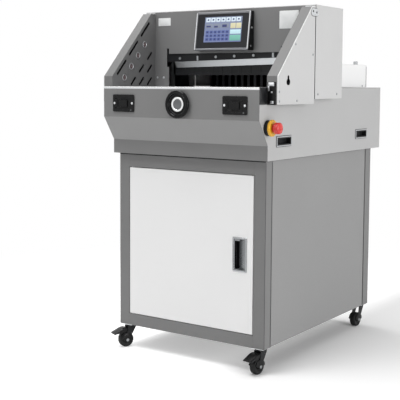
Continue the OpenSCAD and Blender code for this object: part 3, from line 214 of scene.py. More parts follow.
def outlinedGrid(w, h, r, profile, centre, side, closed=False):
    # each profile point (inset, height) gives one rounded-rectangle loop set in and raised by it
    loops = []
    for inset, height in profile:
        flat = roundRect(max(w - 2 * inset, 0.0), max(h - 2 * inset, 0.0), max(r - inset, 0.0))
        loops.append(np.column_stack([flat, np.full(len(flat), height)]))
    return centre + (np.stack(loops) * mm) @ side, closed, True


def plateGrid(w, h, t, r, centre, side, edge=0.4):
    # loops from the middle of the back to the edge, over its softened corner and in to the middle of the face
    m, soft = min(w, h) / 2, edge * 0.3
    profile = [(m, -sunk), (0, -sunk), (0, t - edge), (soft, t - soft), (edge, t), (m, t)]
    return outlinedGrid(w, h, r, profile, centre, side)


def closeEnds(loops):  # rings of points in a row, with a pole at either end
    ends = loops[[0, -1]].mean(1, keepdims=True) + 0 * loops[[0, -1]]
    return np.concatenate([ends[:1], loops, ends[1:]]), False, True


def gridFaces(n, m, wrapU=False, wrapV=False):  # corner numbers of the quads of an n by m grid
    index = np.arange(n * m).reshape(n, m)
    index = np.vstack([index, index[:1]]) if wrapU else index
    index = np.hstack([index, index[:, :1]]) if wrapV else index
    return np.stack([index[:-1, :-1], index[1:, :-1], index[1:, 1:], index[:-1, 1:]], -1).reshape(-1, 4)


def makePiece(name, grids, material, body, replaces=(), crease=35):
    # one welded mesh of all its grids, smooth but for edges sharper than the crease, riding on its body
    corners, faces, base = [], [], 0
    for points, wrapU, wrapV in grids:
        n, m = points.shape[:2]
        faces.append(gridFaces(n, m, wrapU, wrapV) + base)
        corners.append(points.reshape(-1, 3))
        base += n * m
    mesh = bpy.data.meshes.new(name)
    mesh.from_pydata(np.concatenate(corners).tolist(), [], np.concatenate(faces).tolist())
    work = bmesh.new()
    work.from_mesh(mesh)
    bmesh.ops.remove_doubles(work, verts=work.verts, dist=weld)  # closes seams and poles
    bmesh.ops.recalc_face_normals(work, faces=work.faces)
    work.to_mesh(mesh)
    work.free()
    mesh.shade_smooth()
    mesh.set_sharp_from_angle(angle=math.radians(crease))
    mesh.materials.append(material)
    piece = bpy.data.objects.new(name, mesh)
    scene.collection.objects.link(piece)
    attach(piece, body)
    if replaces:
        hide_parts(*replaces)
    return piece


# Materials

patterns = {"cloud": 240, "stain": 70, "touch": 35, "row": 2.4166, "fold": 2.2, "rim": 1.0}  # millimetres
colourA, colourB, colourOut = 6, 7, 2  # sockets of a Mix node that mixes colours
waveLength = math.tau / 20  # distance between a Wave texture's bands at a scale of 1


def newShader(name, sockets):  # a material, its tree, its shader and the Object coordinates
    material = bpy.data.materials.new(name)
    material.use_nodes = True
    tree = material.node_tree
    tree.nodes.clear()
    shader = addNode(tree, "ShaderNodeBsdfPrincipled", sockets)
    addNode(tree, "ShaderNodeOutputMaterial", {"Surface": shader.outputs[0]})
    coord = addNode(tree, "ShaderNodeTexCoord")
    return material, tree, shader, coord.outputs["Object"]


def linkInputs(tree, node, sockets):  # sockets: name of an input, and the output that feeds it
    for key, socket in sockets.items():
        tree.links.new(socket, node.inputs[key])


def shade(colour, factor):  # lighter or darker tone of a hex colour, in linear light
    return (*[min(1.0, c * factor) for c in hexLinear(colour)[:3]], 1.0)


def edgeWearAndLight(tree, radiusMm):
    # rounded normal, and how far the surface turns within that radius: 0 on the flat, 0.8 along an edge.
    # The materials tint edges by this mask: wear together with painted edge light.
    fold = addNode(tree, "ShaderNodeBevel", {"Radius": radiusMm * mm}, samples=4)
    truth = addNode(tree, "ShaderNodeNewGeometry")
    turn = addNode(tree, "ShaderNodeVectorMath", {0: fold.outputs[0], 1: truth.outputs["Normal"]},
                   operation="DOT_PRODUCT")
    wearAndLight = addNode(tree, "ShaderNodeMapRange", {"Value": turn.outputs["Value"], "From Min": 0.98,
                                                "From Max": 0.75, "To Min": 0.0, "To Max": 0.8})
    return fold.outputs[0], wearAndLight.outputs[0]


def paintedSteel(name, colour, rough=0.45, edge=1.35, cloud=0.05, peelMm=3.0, gleam=0.5, underLight=1.0):
    # Powder coat on folded sheet: orange peel, faint clouds, and along the folds a tone scaled by edge:
    # thinned paint together with a painted highlight where edge is above 1, painted shade where it is below
    # 1.
    # Real peel is about 1 mm across; drawn at 3 mm so that it shows. Faces that lean down are paler by
    # underLight:
    # painted light, as if lit from the floor below.
    material, tree, shader, here = newShader(name, {"IOR": 1.5, "Specular IOR Level": gleam})
    peel = addNode(tree, "ShaderNodeTexNoise", {"Vector": here, "Scale": 1 / (peelMm * mm), "Detail": 2.0})
    drift = addNode(tree, "ShaderNodeTexNoise", {"Vector": here, "Scale": 1 / (patterns["cloud"] * mm),
                                                 "Detail": 3.0})
    tone = addNode(tree, "ShaderNodeMix", {0: drift.outputs["Fac"], colourA: shade(colour, 1 - cloud),
                                           colourB: shade(colour, 1 + cloud)}, data_type="RGBA")
    # painted light: faces that lean down take a paler tone
    if underLight != 1.0:
        truth = addNode(tree, "ShaderNodeNewGeometry")
        axes = addNode(tree, "ShaderNodeSeparateXYZ", {0: truth.outputs["Normal"]})
        lean = addNode(tree, "ShaderNodeMapRange", {"Value": axes.outputs["Z"], "From Min": -0.2,
                                                    "From Max": -0.45})
        tone = addNode(tree, "ShaderNodeMix", {0: lean.outputs[0], colourA: tone.outputs[colourOut],
                                               colourB: shade(colour, underLight)}, data_type="RGBA")
    rounded, wearAndLight = edgeWearAndLight(tree, patterns["fold"])
    # edge tone: thinned paint with a painted highlight (edge above 1) or painted shade (edge below 1)
    wornAndLit = addNode(tree, "ShaderNodeMix", {0: wearAndLight, colourA: tone.outputs[colourOut],
                                           colourB: shade(colour, edge)}, data_type="RGBA")
    gloss = addNode(tree, "ShaderNodeMapRange", {
        "Value": peel.outputs["Fac"], "From Min": 0.3, "From Max": 0.7,
        "To Min": rough - 0.05, "To Max": rough + 0.07})
    relief = addNode(tree, "ShaderNodeBump", {"Height": peel.outputs["Fac"], "Strength": 0.1,
                                              "Distance": 0.3 * mm, "Normal": rounded})
    linkInputs(tree, shader, {"Base Color": wornAndLit.outputs[colourOut], "Roughness": gloss.outputs[0],
                              "Normal": relief.outputs[0]})
    return material


def workedMetal(name, colour, rough, along=(1, 1, 1), lineMm=2.0, depth=0.15, spread=0.1):
    # Ground, brushed or turned metal: grain drawn out along the way that it was worked.
    # Grinding lines are under 0.1 mm; drawn at about 2 mm so that they show.
    material, tree, shader, here = newShader(name, {"Metallic": 1.0})
    drawn = addNode(tree, "ShaderNodeMapping", {"Vector": here, "Scale": along})
    grain = addNode(tree, "ShaderNodeTexNoise", {"Vector": drawn.outputs[0], "Scale": 1 / (lineMm * mm),
                                                 "Detail": 4.0, "Roughness": 0.6})
    stain = addNode(tree, "ShaderNodeTexNoise", {"Vector": here, "Scale": 1 / (patterns["stain"] * mm),
                                                 "Detail": 2.0})
    tone = addNode(tree, "ShaderNodeMix", {0: grain.outputs["Fac"], colourA: shade(colour, 0.86),
                                           colourB: shade(colour, 1.1)}, data_type="RGBA")
    mixed = addNode(tree, "ShaderNodeMath", {0: grain.outputs["Fac"], 1: stain.outputs["Fac"]},
                    operation="MULTIPLY")
    gloss = addNode(tree, "ShaderNodeMapRange", {
        "Value": mixed.outputs[0], "From Min": 0.1, "From Max": 0.5,
        "To Min": rough - spread / 2, "To Max": rough + spread / 2})
    relief = addNode(tree, "ShaderNodeBump", {"Height": grain.outputs["Fac"], "Strength": depth,
                                              "Distance": 0.2 * mm})
    linkInputs(tree, shader, {"Base Color": tone.outputs[colourOut], "Roughness": gloss.outputs[0],
                              "Normal": relief.outputs[0]})
    return material


def mouldedPlastic(name, colour, rough, grainMm=1.6, depth=0.2, ior=1.5, gleam=0.5, edge=1.25):
    # Injection-moulded plastic: spark-eroded grain from the mould, handling shine in patches,
    # and a lighter tone along the edges: rubbed wear together with a painted highlight.
    # Real grain is about 0.3 mm; drawn at 1.6 mm so that it shows.
    material, tree, shader, here = newShader(name, {"IOR": ior, "Specular IOR Level": gleam})
    grain = addNode(tree, "ShaderNodeTexVoronoi", {"Vector": here, "Scale": 1 / (grainMm * mm)})
    touch = addNode(tree, "ShaderNodeTexNoise", {"Vector": here, "Scale": 1 / (patterns["touch"] * mm),
                                                 "Detail": 3.0})
    tone = addNode(tree, "ShaderNodeMix", {0: touch.outputs["Fac"], colourA: shade(colour, 0.9),
                                           colourB: shade(colour, 1.12)}, data_type="RGBA")
    gloss = addNode(tree, "ShaderNodeMapRange", {
        "Value": touch.outputs["Fac"], "From Min": 0.35, "From Max": 0.65,
        "To Min": rough - 0.06, "To Max": rough + 0.06})
    rounded, wearAndLight = edgeWearAndLight(tree, patterns["rim"])
    # edge tone: rubbed wear with a painted highlight
    rubbedAndLit = addNode(tree, "ShaderNodeMix", {0: wearAndLight, colourA: tone.outputs[colourOut],
                                             colourB: shade(colour, edge)}, data_type="RGBA")
    relief = addNode(tree, "ShaderNodeBump", {"Height": grain.outputs["Distance"], "Strength": depth,
                                              "Distance": 0.2 * mm, "Normal": rounded})
    linkInputs(tree, shader, {"Base Color": rubbedAndLit.outputs[colourOut], "Roughness": gloss.outputs[0],
                              "Normal": relief.outputs[0]})
    return material


def litPanel(name, top, bottom, glow, span=(1.17, 1.28)):
    # Backlit display film behind glass: colour runs from bottom to top over the span, in metres of height.
    # Rows of a real display are about 0.2 mm apart; drawn at 2.4 mm so that they show.
    material, tree, shader, here = newShader(name, {"Roughness": 0.25, "Emission Strength": glow})
    axes = addNode(tree, "ShaderNodeSeparateXYZ", {0: here})
    climb = addNode(tree, "ShaderNodeMapRange", {"Value": axes.outputs["Z"], "From Min": span[0],
                                                 "From Max": span[1]})
    tone = addNode(tree, "ShaderNodeMix", {0: climb.outputs[0], colourA: hexLinear(bottom),
                                           colourB: hexLinear(top)}, data_type="RGBA")
    rows = addNode(tree, "ShaderNodeTexWave", {"Vector": here, "Scale": waveLength / (patterns["row"] * mm),
                                               "Distortion": 0.0}, bands_direction="Z")
    dim = addNode(tree, "ShaderNodeMapRange", {"Value": rows.outputs["Fac"], "To Min": 0.0, "To Max": 0.08})
    lit = addNode(tree, "ShaderNodeMix", {0: dim.outputs[0], colourA: tone.outputs[colourOut],
                                          colourB: hexLinear("#10131c")}, data_type="RGBA")
    linkInputs(tree, shader, {"Base Color": lit.outputs[colourOut], "Emission Color": lit.outputs[colourOut]})
    return material


# the stand's powders: painted shade along their edges (edge below 1)
standPaint = paintedSteel("greyPowderCoatStand", "#6d6d6d", edge=0.8)  # powder on rolled tube: dull mid grey
# a lighter copy of the stand's powder: painted light on the side sheets
standPaintLitSide = paintedSteel("greyPowderCoatStandSideLit", "#828282", edge=0.85)  # same powder on flat sheets
# painted light: the casing's face under the fold is painted 1.45 times paler
frontPaint = paintedSteel("greyPowderCoatCasing", "#717171", underLight=1.45)  # bent sheet: even grey, paler folds
headPaint = paintedSteel("darkGreyPowderCoatHead", "#6c6c6c")  # darker powder: soft, deep grey
# the wing's powder: painted shade at the folds (edge below 1)
wingPaint = paintedSteel("darkGreyPowderCoatWing", "#676767", edge=0.75)  # the same, dark at the folds
sidePaint = paintedSteel("silverPowderCoatCasing", "#a3a3a3", rough=0.4)  # silver powder: light, satin
coverPaint = paintedSteel("silverPowderCoatCovers", "#b6b6b6", rough=0.4, peelMm=4.0)  # paler silver, satin
hemPaintLit = paintedSteel("silverPowderCoatHemLit", "#d6d6d6", rough=0.32)  # paler copy of the covers' powder: painted highlight on the rolled edge
# white powder on a flat door: clean satin white
doorPaint = paintedSteel("whitePowderCoat", "#dedede", rough=0.38, edge=1.05, cloud=0.015)
# sprayed and baked: black, with a painted highlight at the edges
blackPaint = paintedSteel("blackPowderCoat", "#17181a", rough=0.4, edge=2.4, gleam=0.25)
# brushed on a casting: coarse, dull black
framePaint = paintedSteel("blackCastingPaint", "#1c1e20", rough=0.6, peelMm=5.0, gleam=0.2)
# blacked in hot oil: deep black, edges lighter by wear and a painted highlight
carrierPaint = paintedSteel("blackedSteel", "#141517", rough=0.45, edge=2.4, gleam=0.22)
# painted shade: flat black for sheets set behind slots, cutouts and recesses
paintedShadeBlack = paintedSteel("blackShadePaint", "#0b0b0c", rough=0.8, gleam=0.05)
# surface ground along the table: long bright streaks
tableSteel = workedMetal("groundSteel", "#d9dbdd", 0.34, along=(0.02, 1, 1), depth=0.08, spread=0.04)
nosingSteel = workedMetal("polishedSteelEdge", "#eceded", 0.22, along=(0.02, 1, 1))  # polished: white line
knifeSteel = workedMetal("honedKnifeSteel", "#b3b4b5", 0.32, along=(1, 1, 0.03))  # honed across: silky grey
machinedSteel = workedMetal("milledSteel", "#96999b", 0.4)  # milled and oiled: mid grey, short glints
zincSteel = workedMetal("zincPlatedSteel", "#d5d7d9", 0.3)  # bright zinc: pale, faintly mottled
# black anodised bar: soft black
darkAluminium = workedMetal("blackAnodisedAluminium", "#3b3c3e", 0.45, along=(0.05, 1, 1))
frameAluminium = workedMetal("brushedAluminium", "#77787b", 0.34, along=(0.04, 1, 1))  # brushed: satin, lined
# plated over polished steel: clear gleam
chromePlate = workedMetal("chromePlate", "#a4a6a8", 0.14, lineMm=8.0, depth=0.02, spread=0.06)
# plated on blasted zinc: soft grey
satinNickel = workedMetal("satinNickel", "#86888a", 0.3, lineMm=4.0, depth=0.04)
blackAbs = mouldedPlastic("blackAbs", "#151617", 0.45, gleam=0.2)  # moulded: fine grain, soft black
# from a smoother mould: deep black, painted highlight at the rims
blackGloss = mouldedPlastic("blackGlossPlastic", "#0d0d0e", 0.3, depth=0.06, gleam=0.2, edge=9.0)
# moulded and handled smooth: black with thin glints
wheelPlastic = mouldedPlastic("blackPolyamide", "#08090a", 0.12, depth=0.03, gleam=0.17)
tyreRubber = mouldedPlastic("casterRubber", "#121314", 0.5, grainMm=2.4, gleam=0.25)  # moulded: flat black
gripSilver = mouldedPlastic("silverAbs", "#a2a4a6", 0.4)  # painted moulding: light grey, satin
greyCap = mouldedPlastic("greyAbs", "#5c5e60", 0.35)  # moulded insert: mid grey, grained
redPlastic = mouldedPlastic("redAbs", "#bb2622", 0.25, depth=0.05)  # glossy moulding: signal red, glints
yellowPlastic = mouldedPlastic("yellowAbs", "#cd9a1d", 0.3, depth=0.08)  # glossy moulding: warm yellow
stickPlastic = mouldedPlastic("redPvcStick", "#b3262b", 0.5)  # extruded bar: dull red, scored by cutting
# cast and tinted: smoky, pinkish
lensAcrylic = mouldedPlastic("smokedAcrylic", "#6b5f60", 0.2, depth=0.02, ior=1.49, gleam=0.2)
blackGlass = mouldedPlastic("blackGlass", "#1f2023", 0.14, depth=0.0, gleam=0.2)  # back-printed: slate black
plateLacquer = mouldedPlastic("whiteLacquerPlate", "#d4d5d5", 0.42, depth=0.05)  # lacquered foil: pale grey
nickelBrass = workedMetal("nickelPlatedBrass", "#c9b98f", 0.3)  # plated contacts: warm silver

casterCorners = ("front_left", "front_right", "rear_left", "rear_right")
finishes = {
    standPaint: ("stand_posts", "stand_rails", "stand_rear_panel", "stand_floor"),
    standPaintLitSide: ("stand_side_panels",),
    doorPaint: ("stand_door", "rear_cover"),
    satinNickel: ("door_pull",),
    zincSteel: ("door_hinge_pins", "caster_plates", "rear_cover_pins"),
    blackPaint: ["brake_pedal_left", "brake_pedal_right"] + ["caster_fork_" + c for c in casterCorners],
    tyreRubber: ["caster_wheel_" + c for c in casterCorners],
    sidePaint: ("casing_tray", "casing_sides"),
    frontPaint: ("casing_front",),
    wingPaint: ("left_wing_shell", "right_wing_shell"),
    headPaint: ("head_front_panel",),
    coverPaint: ("wing_covers", "head_side_covers", "head_hood"),
    framePaint: ("head_frame", "knife_gearmotor", "screw_motors"),
    carrierPaint: ("knife_carrier", "clamp_beam"),
    tableSteel: ("work_table",),
    knifeSteel: ("knife_blade",),
    machinedSteel: ("knife_bolts", "pull_link", "crank_arm", "clamp_screw", "gauge_rods", "gauge_screw"),
    darkAluminium: ("back_gauge",),
    frameAluminium: ("screen_frame", "handwheel_cap"),
    blackAbs: ("side_grips", "screen_housing", "handwheel_base", "power_inlet"),
    blackGloss: ("button_plates", "left_cut_button", "right_cut_button"),
    wheelPlastic: ("handwheel",),
    lensAcrylic: ("light_curtain_bars",),
    blackGlass: ("touch_glass",),
    stickPlastic: ("cutting_stick",),
    yellowPlastic: ("estop_collar",),
    redPlastic: ("estop_button",),
}
for material, names in finishes.items():
    for name in names:
        nodes[name].data.materials.clear()
        nodes[name].data.materials.append(material)
missed = set(nodes) - {name for names in finishes.values() for name in names}
print("materials set, nodes left bare:", sorted(missed))


# Floor

def makeFloor():
    # flat square: lit and shadowed near the machine, white further off, as the background is
    half, steps = room["floorHalf"], room["floorSteps"]
    u, v = np.meshgrid(np.linspace(-half, half, steps), np.linspace(-half, half, steps), indexing="ij")
    points = np.stack([u, v, 0 * u], -1).reshape(-1, 3)
    mesh = bpy.data.meshes.new("studioFloor")
    mesh.from_pydata(points.tolist(), [], gridFaces(steps, steps).tolist())
    material, tree, shader, here = newShader("paleStudioFloor", {"Roughness": 0.9, "Specular IOR Level": 0.1})
    cloud = addNode(tree, "ShaderNodeTexNoise", {"Vector": here, "Scale": room["cloudScale"], "Detail": 2.0})
    tone = addNode(tree, "ShaderNodeMix", {0: cloud.outputs["Fac"], colourA: shade(room["floorColour"], 0.99),
                                           colourB: hexLinear(room["floorColour"])}, data_type="RGBA")
    linkInputs(tree, shader, {"Base Color": tone.outputs[colourOut]})
    rays = backgroundRays(tree)
    axes = addNode(tree, "ShaderNodeSeparateXYZ", {0: here})
    fall = addNode(tree, "ShaderNodeMapRange", {  # glows most at the left, so that shadows thin out there
        "Value": axes.outputs["X"], "From Min": room["liftX"][0], "From Max": room["liftX"][1],
        "To Min": room["lift"][0], "To Max": room["lift"][1]}, interpolation_type="SMOOTHSTEP")
    lift = addNode(tree, "ShaderNodeMath", {0: rays, 1: fall.outputs[0]}, operation="MULTIPLY")
    glow = addNode(tree, "ShaderNodeEmission", {"Strength": lift.outputs[0]})
    near = addNode(tree, "ShaderNodeAddShader", {0: shader.outputs[0], 1: glow.outputs[0]})
    reach = addNode(tree, "ShaderNodeVectorMath", {0: here}, operation="LENGTH")
    far = addNode(tree, "ShaderNodeMapRange", {"Value": reach.outputs["Value"], "From Min": room["fade"][0],
                                               "From Max": room["fade"][1]}, interpolation_type="SMOOTHSTEP")
    seen = addNode(tree, "ShaderNodeMath", {0: far.outputs[0], 1: rays}, operation="MULTIPLY")
    white = addNode(tree, "ShaderNodeEmission", {"Strength": 1.0})
    both = addNode(tree, "ShaderNodeMixShader", {0: seen.outputs[0], 1: near.outputs[0], 2: white.outputs[0]})
    linkInputs(tree, tree.nodes["Material Output"], {"Surface": both.outputs[0]})
    mesh.materials.append(material)
    floor = bpy.data.objects.new("studioFloor", mesh)
    scene.collection.objects.link(floor)


makeFloor()
print("floor made")


# Screws: a low dome over a circle with a cross pressed into it

columns = (-322, -110, 110, 322)  # x of the screws of hood and casing
screws = {
    "radius": 4.2, "height": 2.0, "fall": 0.55, "cross": 0.9, "crossHalf": 0.13, "crossReach": 0.6,
    "zinc": [  # x, y from the front, z, facing
        *[(x, headFront, 1048, toFront) for x in (-328, -297)],
        *[(s * buttonX + d, buttonFace, buttonZ, toFront) for s in (-1, 1) for d in (-41.5, 41.5)],
        *[(s * screenSide, y, z, side) for s, side in bothSides for y, z in ((303, 1234), (296, 1166))],
    ],
    "dark": [
        *[(s * coverSide, y, z, side) for s, side in bothSides for y, z in (
            (172, 1162), (301, 1130), (60, 998), (61, 965), (185, 966), (344, 988), (498, 988))],
        *[(x, y, headTop, toTop) for x in columns for y in (334, 524)],
        *[(x, headRear, z, toRear) for x in columns for z in (1126, 1292)],
        *[(x, casingRear, z, toRear) for x in columns for z in (776, 994)],
        *[(x, standBack, z, toRear) for x in (-262, 0, 262) for z in (110, 425, 740)],
    ],
}


def screwGrid(x, y, z, side):
    # height = dome falling with the square of the radius, less the cross near either diameter
    rho = np.array([0, 0.18, 0.36, 0.52, 0.7, 0.86, 1.0, 1.0, 0.0])[:, None]
    angle = np.linspace(0, 2 * np.pi, 24, endpoint=False)
    a, b = rho * np.cos(angle), rho * np.sin(angle)
    across, along = np.minimum(abs(a), abs(b)), np.maximum(abs(a), abs(b))
    cross = (across < screws["crossHalf"]) & (along < screws["crossReach"])
    height = screws["height"] * (1 - screws["fall"] * rho ** 2) - screws["cross"] * cross
    height[-2:] = -sunk  # the last two rings close the underside
    flat = np.stack([a * screws["radius"], b * screws["radius"], height + 0 * a], -1) * mm
    return place(x, y, z) + flat @ side, False, True


for name, key, steel in (("panelScrewsZinc", "zinc", zincSteel), ("panelScrewsDark", "dark", machinedSteel)):
    makePiece(name, [screwGrid(*s) for s in screws[key]], steel, "machine", crease=50)
print("screws made:", len(screws["zinc"]) + len(screws["dark"]))


# Trim: table edge, bare plates, strip, brackets and latches of the wings, seals, hems,
# and black strips and sheets of painted shade and shadow at seams, gaps, slots and edges

def pair(w, h, t, r, x, y, z):  # the same plate on the right and on the left
    return [(w, h, t, r, (s * x, y, z), side) for s, side in bothSides]


latch = {"t": 1.6, "y": 309.5, "z": 1281}
stripT = 1.0  # the brackets of a wing stand on its strip
trims = {  # material, slot, softened edge; plates: width, height, thickness, corner radius, middle, facing
    "tableNosing": (nosingSteel, "table_steel", 1.0, [
        (2 * casingSide, 4.0, 1.2, 1.5, (0, 0, tableTop - 2.2), toFront)]),
    "barePlates": (plateLacquer, "white_enamel", 0.4, [
        (60, 31, 0.8, 1.5, (-293.4, headFront, 1268.4), toFront),
        (80, 65, 0.5, 2.5, (272.6, headFront, 1259.7), toFront)]),
    "wingStrip": (blackGloss, "black_plastic", 0.4, [(34, 78, stripT, 1.5, (359, wingFront, 992), toFront)]),
    "wingBrackets": (zincSteel, "machined_steel", 0.4, [
        (w, h, 2.2, 1.0, (x, wingFront - stripT, z), toFront)
        for w, h, x, z in ((22, 13, 358, 1023), (13, 10, 361, 962), (5, 24, 348, 1012), (6, 6, 360, 996))]),
    "wingClips": (zincSteel, "machined_steel", 0.4, [
        *[(26, 18, 1.5, 2.0, (s * 361, 306, wingTop), toTop) for s in (-1, 1)],
        *pair(52, 27, latch["t"], 11.0, coverSide, latch["y"], latch["z"])]),
    # black plates a little larger than the latches: a painted shadow round each latch
    "latchShadowSeats": (blackAbs, "black_plastic", 0.3, [  # with two rivets in each latch
        *pair(55, 30, 0.6, 12.5, coverSide, latch["y"], latch["z"]),
        *pair(7, 8, 0.5, 3.0, coverSide + latch["t"], 296, 1284),
        *pair(7, 8, 0.5, 3.0, coverSide + latch["t"], 323, 1281)]),
    # black plates round the keyholes: painted shade that makes each hole look larger and darker
    "keyholeShades": (paintedShadeBlack, "black_plastic", 0.3, [
        *pair(25, 22, 0.5, 12.5, coverSide, 122, 1031),
        *pair(11, 24, 0.5, 5.5, coverSide, 122, 1042)]),
    # painted shade: black sheets behind the covers' keyholes and seam
    "coverShadeSheets": (paintedShadeBlack, "black_enamel", 0.4, [  # behind the covers' sheet
        *pair(26, 38, 0.6, 1.0, coverSide - 3.2, 122, 1040),
        *pair(7, 338, 0.6, 1.0, coverSide - 3.2, 314, 1127)]),
    "rearSeals": (blackAbs, "black_plastic", 0.4, [
        *pair(4.4, 90, 1.4, 0.5, rearSide + 0.4, 542.3, 1059)]),
    # black strips of painted shadow under the casing's overhang, along the stand's top at front and sides
    "standShadowStrips": (blackAbs, "black_plastic", 0.4, [
        (2 * standSide, 5.5, 0.6, 0.5, (0, standFront, standTop - 2.8), toFront),
        *pair(standRear - standFront, 3.2, 2.4, 0.5, panelSide, standY, standTop - 1.6)]),
    # painted shade: black strips behind the gaps between side sheets and posts, and lines at the posts' edges
    "standSeams": (blackAbs, "black_plastic", 0.1, [
        *pair(3.8, standTop - standFoot, 0.6, 0.2, panelSide - 1.85, 126, standZ),
        *pair(3.8, standTop - standFoot, 0.6, 0.2, panelSide - 1.85, 898, standZ),
        *pair(2.2, 660, 0.25, 0.2, standSide, 77.8, 422),
        *pair(3.2, 660, 0.25, 0.2, standSide, 120.3, 422)]),
    # painted shade: black lines in the seam between wing and head covers, and under the casing's top edge
    "coverSeams": (blackAbs, "black_plastic", 0.1, [
        *pair(3.6, 338, 0.35, 0.2, coverSide, 318.2, 1140),
        *pair(454, 1.0, 0.35, 0.2, casingSide, 772, 1011.3)]),
    # the front panel's returns on the casing's sides, black in place of their grey: painted shade under the
    # wings
    "sideReturnsShaded": (blackPaint, "black_enamel", 0.4, [
        *pair(wingFront, 58, 0.6, 0.5, casingSide, wingFront / 2, 983)]),
}
wingSide = {"front": 52, "rear": 316, "low": 957, "knee": 1048, "top": 1297, "kneeY": 52, "topY": 289,
            "x": 346, "t": 0.8}
hem = {"radius": 1.2, "x": 381.6, "path": [(50, 956), (50, 1050.6), (291.6, 1300), (317, 1300)]}  # path: y, z


def shadeSheetGrid(s):
    # black sheet of painted shade behind the slots, in the plane of a wing:
    # its top follows the slope from the knee up, and then runs level
    y = np.linspace(wingSide["front"], wingSide["rear"], 24)[:, None, None]
    slope = np.interp(y, [wingSide["kneeY"], wingSide["topY"]], [wingSide["knee"], wingSide["top"]])
    z = wingSide["low"] + (slope - wingSide["low"]) * np.array([0, 0, 1, 1])[None, :, None]
    x = s * (wingSide["x"] + wingSide["t"] * np.array([0, 1, 1, 0]))[None, :, None]
    return closeEnds(np.concatenate([x + 0 * z, y + 0 * z, z], -1) * mm + [0, frontY, 0])


def hemGrid(s):
    # round hem along the cover's outline: a circle in the plane of the bisector at each corner
    path = np.array(hem["path"], float)
    step = np.diff(path, axis=0)
    step /= np.linalg.norm(step, axis=1)[:, None]
    before, after = np.vstack([step[:1], step]), np.vstack([step, step[-1:]])
    middle = (before + after) / np.linalg.norm(before + after, axis=1)[:, None]
    mitre = np.stack([middle[:, 1], -middle[:, 0]], -1) / (before * middle).sum(1)[:, None]
    angle = np.linspace(0, 2 * np.pi, 10, endpoint=False)
    flat = path[:, None] + hem["radius"] * np.sin(angle)[None, :, None] * mitre[:, None]
    x = s * (hem["x"] + hem["radius"] * np.cos(angle))[None, :, None] + 0 * flat[..., :1]
    return closeEnds(np.concatenate([x, flat], -1) * mm + [0, frontY, 0])


for name, (material, slotName, edge, plates) in trims.items():
    grids = [plateGrid(w, h, t, r, place(*at), side, edge) for w, h, t, r, at, side in plates]
    makePiece(name, grids, material, "machine")
makePiece("coverHems", [hemGrid(s) for s in (-1, 1)], hemPaintLit, "machine")
makePiece("slotShadeSheets", [shadeSheetGrid(s) for s in (-1, 1)], paintedShadeBlack, "machine")
print("trim made")


# Touch screen: bezel, display and its keys lie on the leaning face

screen = {"w": 2 * screenSide, "h": 147.5, "lean": math.atan(21 / 146),  # set back over height
          "display": (168.0, 97.0), "centre": (3.0, 79.5), "glass": 2.0, "keyEdge": 0.08,
          "film": (0.2, 1.5), "key": (0.4, 1.6), "mark": (0.6, 0.6)}  # thickness, corner radius
bezel = {"corner": 4.0, "edgeW": 3.4, "edgeShort": 6, "edgeT": 0.5, "edgeCorner": 0.8, "edgeSoft": 0.2,
         "edgeX": 119.3, "edgeOut": 3.7,
         "profile": [(0, 0), (0, 2.6), (0.8, 3.6), (2.0, 4.0), (5.4, 3.6), (7.4, 2.6), (8, 2.0), (8, 0)]}
toScreen = facing((1, 0, 0), (0, math.sin(screen["lean"]), math.cos(screen["lean"])))


def onScreen(u, w, d):  # across, up the face from its foot, out of the face
    lean = screen["lean"]
    return place(u, screenFoot + w * math.sin(lean) - d * math.cos(lean),
                 screenLow + w * math.cos(lean) + d * math.sin(lean))


bezelGrid = outlinedGrid(screen["w"], screen["h"], bezel["corner"], bezel["profile"],
                         onScreen(0, screen["h"] / 2, 0), toScreen, closed=True)
makePiece("screenBezel", [bezelGrid], frameAluminium, "machine", replaces=["screen_frame"])
# bright zinc strips down the bezel's left and right: painted highlight on its sides
edgeSize = bezel["edgeW"], screen["h"] - bezel["edgeShort"], bezel["edgeT"], bezel["edgeCorner"]
edgePlaces = [onScreen(s * bezel["edgeX"], screen["h"] / 2, bezel["edgeOut"]) for s in (-1, 1)]
edgeGrids = [plateGrid(*edgeSize, at, toScreen, bezel["edgeSoft"]) for at in edgePlaces]
makePiece("bezelHighlightStrips", edgeGrids, zincSteel, "machine")

keyTones = {  # colour at the top, colour at the bottom, glow
    "icon": ("#c9d6df", "#b4c0d2", 0.15),
    "field": ("#7d8494", "#6d7588", 0.12),
    "key": ("#4f5f92", "#43528c", 0.15),
    "cream": ("#cfc9a6", "#bdb894", 0.15),
    "cyan": ("#c3dbe0", "#aacdd8", 0.15),
    "green": ("#86bfb2", "#62a594", 0.15),
    "mark": ("#303a6a", "#28315c", 0.1),
}
keyRows = {  # fractions of the display: left, bottom, width, height
    "icon": [(0.03 + 0.136 * i, 0.8, 0.118, 0.17) for i in range(7)],
    "field": [(0.03, 0.56, 0.19, 0.18), (0.24, 0.56, 0.2, 0.18), (0.46, 0.56, 0.2, 0.18)],
    "key": [(0.04 + 0.107 * i, 0.06 + 0.142 * j, 0.095, 0.118) for i in range(6) for j in range(3)],
    "cream": [(0.7, 0.53, 0.135, 0.21), (0.85, 0.53, 0.135, 0.21)],
    "cyan": [(0.7, 0.31, 0.285, 0.17)],
    "green": [(0.7, 0.05, 0.285, 0.22)],
    "mark": [  # one on each key, icon and field
        *[(0.065 + 0.107 * i, 0.09 + 0.142 * j, 0.045, 0.058) for i in range(6) for j in range(3)],
        *[(0.068 + 0.136 * i, 0.86, 0.044, 0.06) for i in range(7)],
        (0.05, 0.6, 0.12, 0.06), (0.26, 0.58, 0.1, 0.07), (0.48, 0.59, 0.12, 0.1)],
}


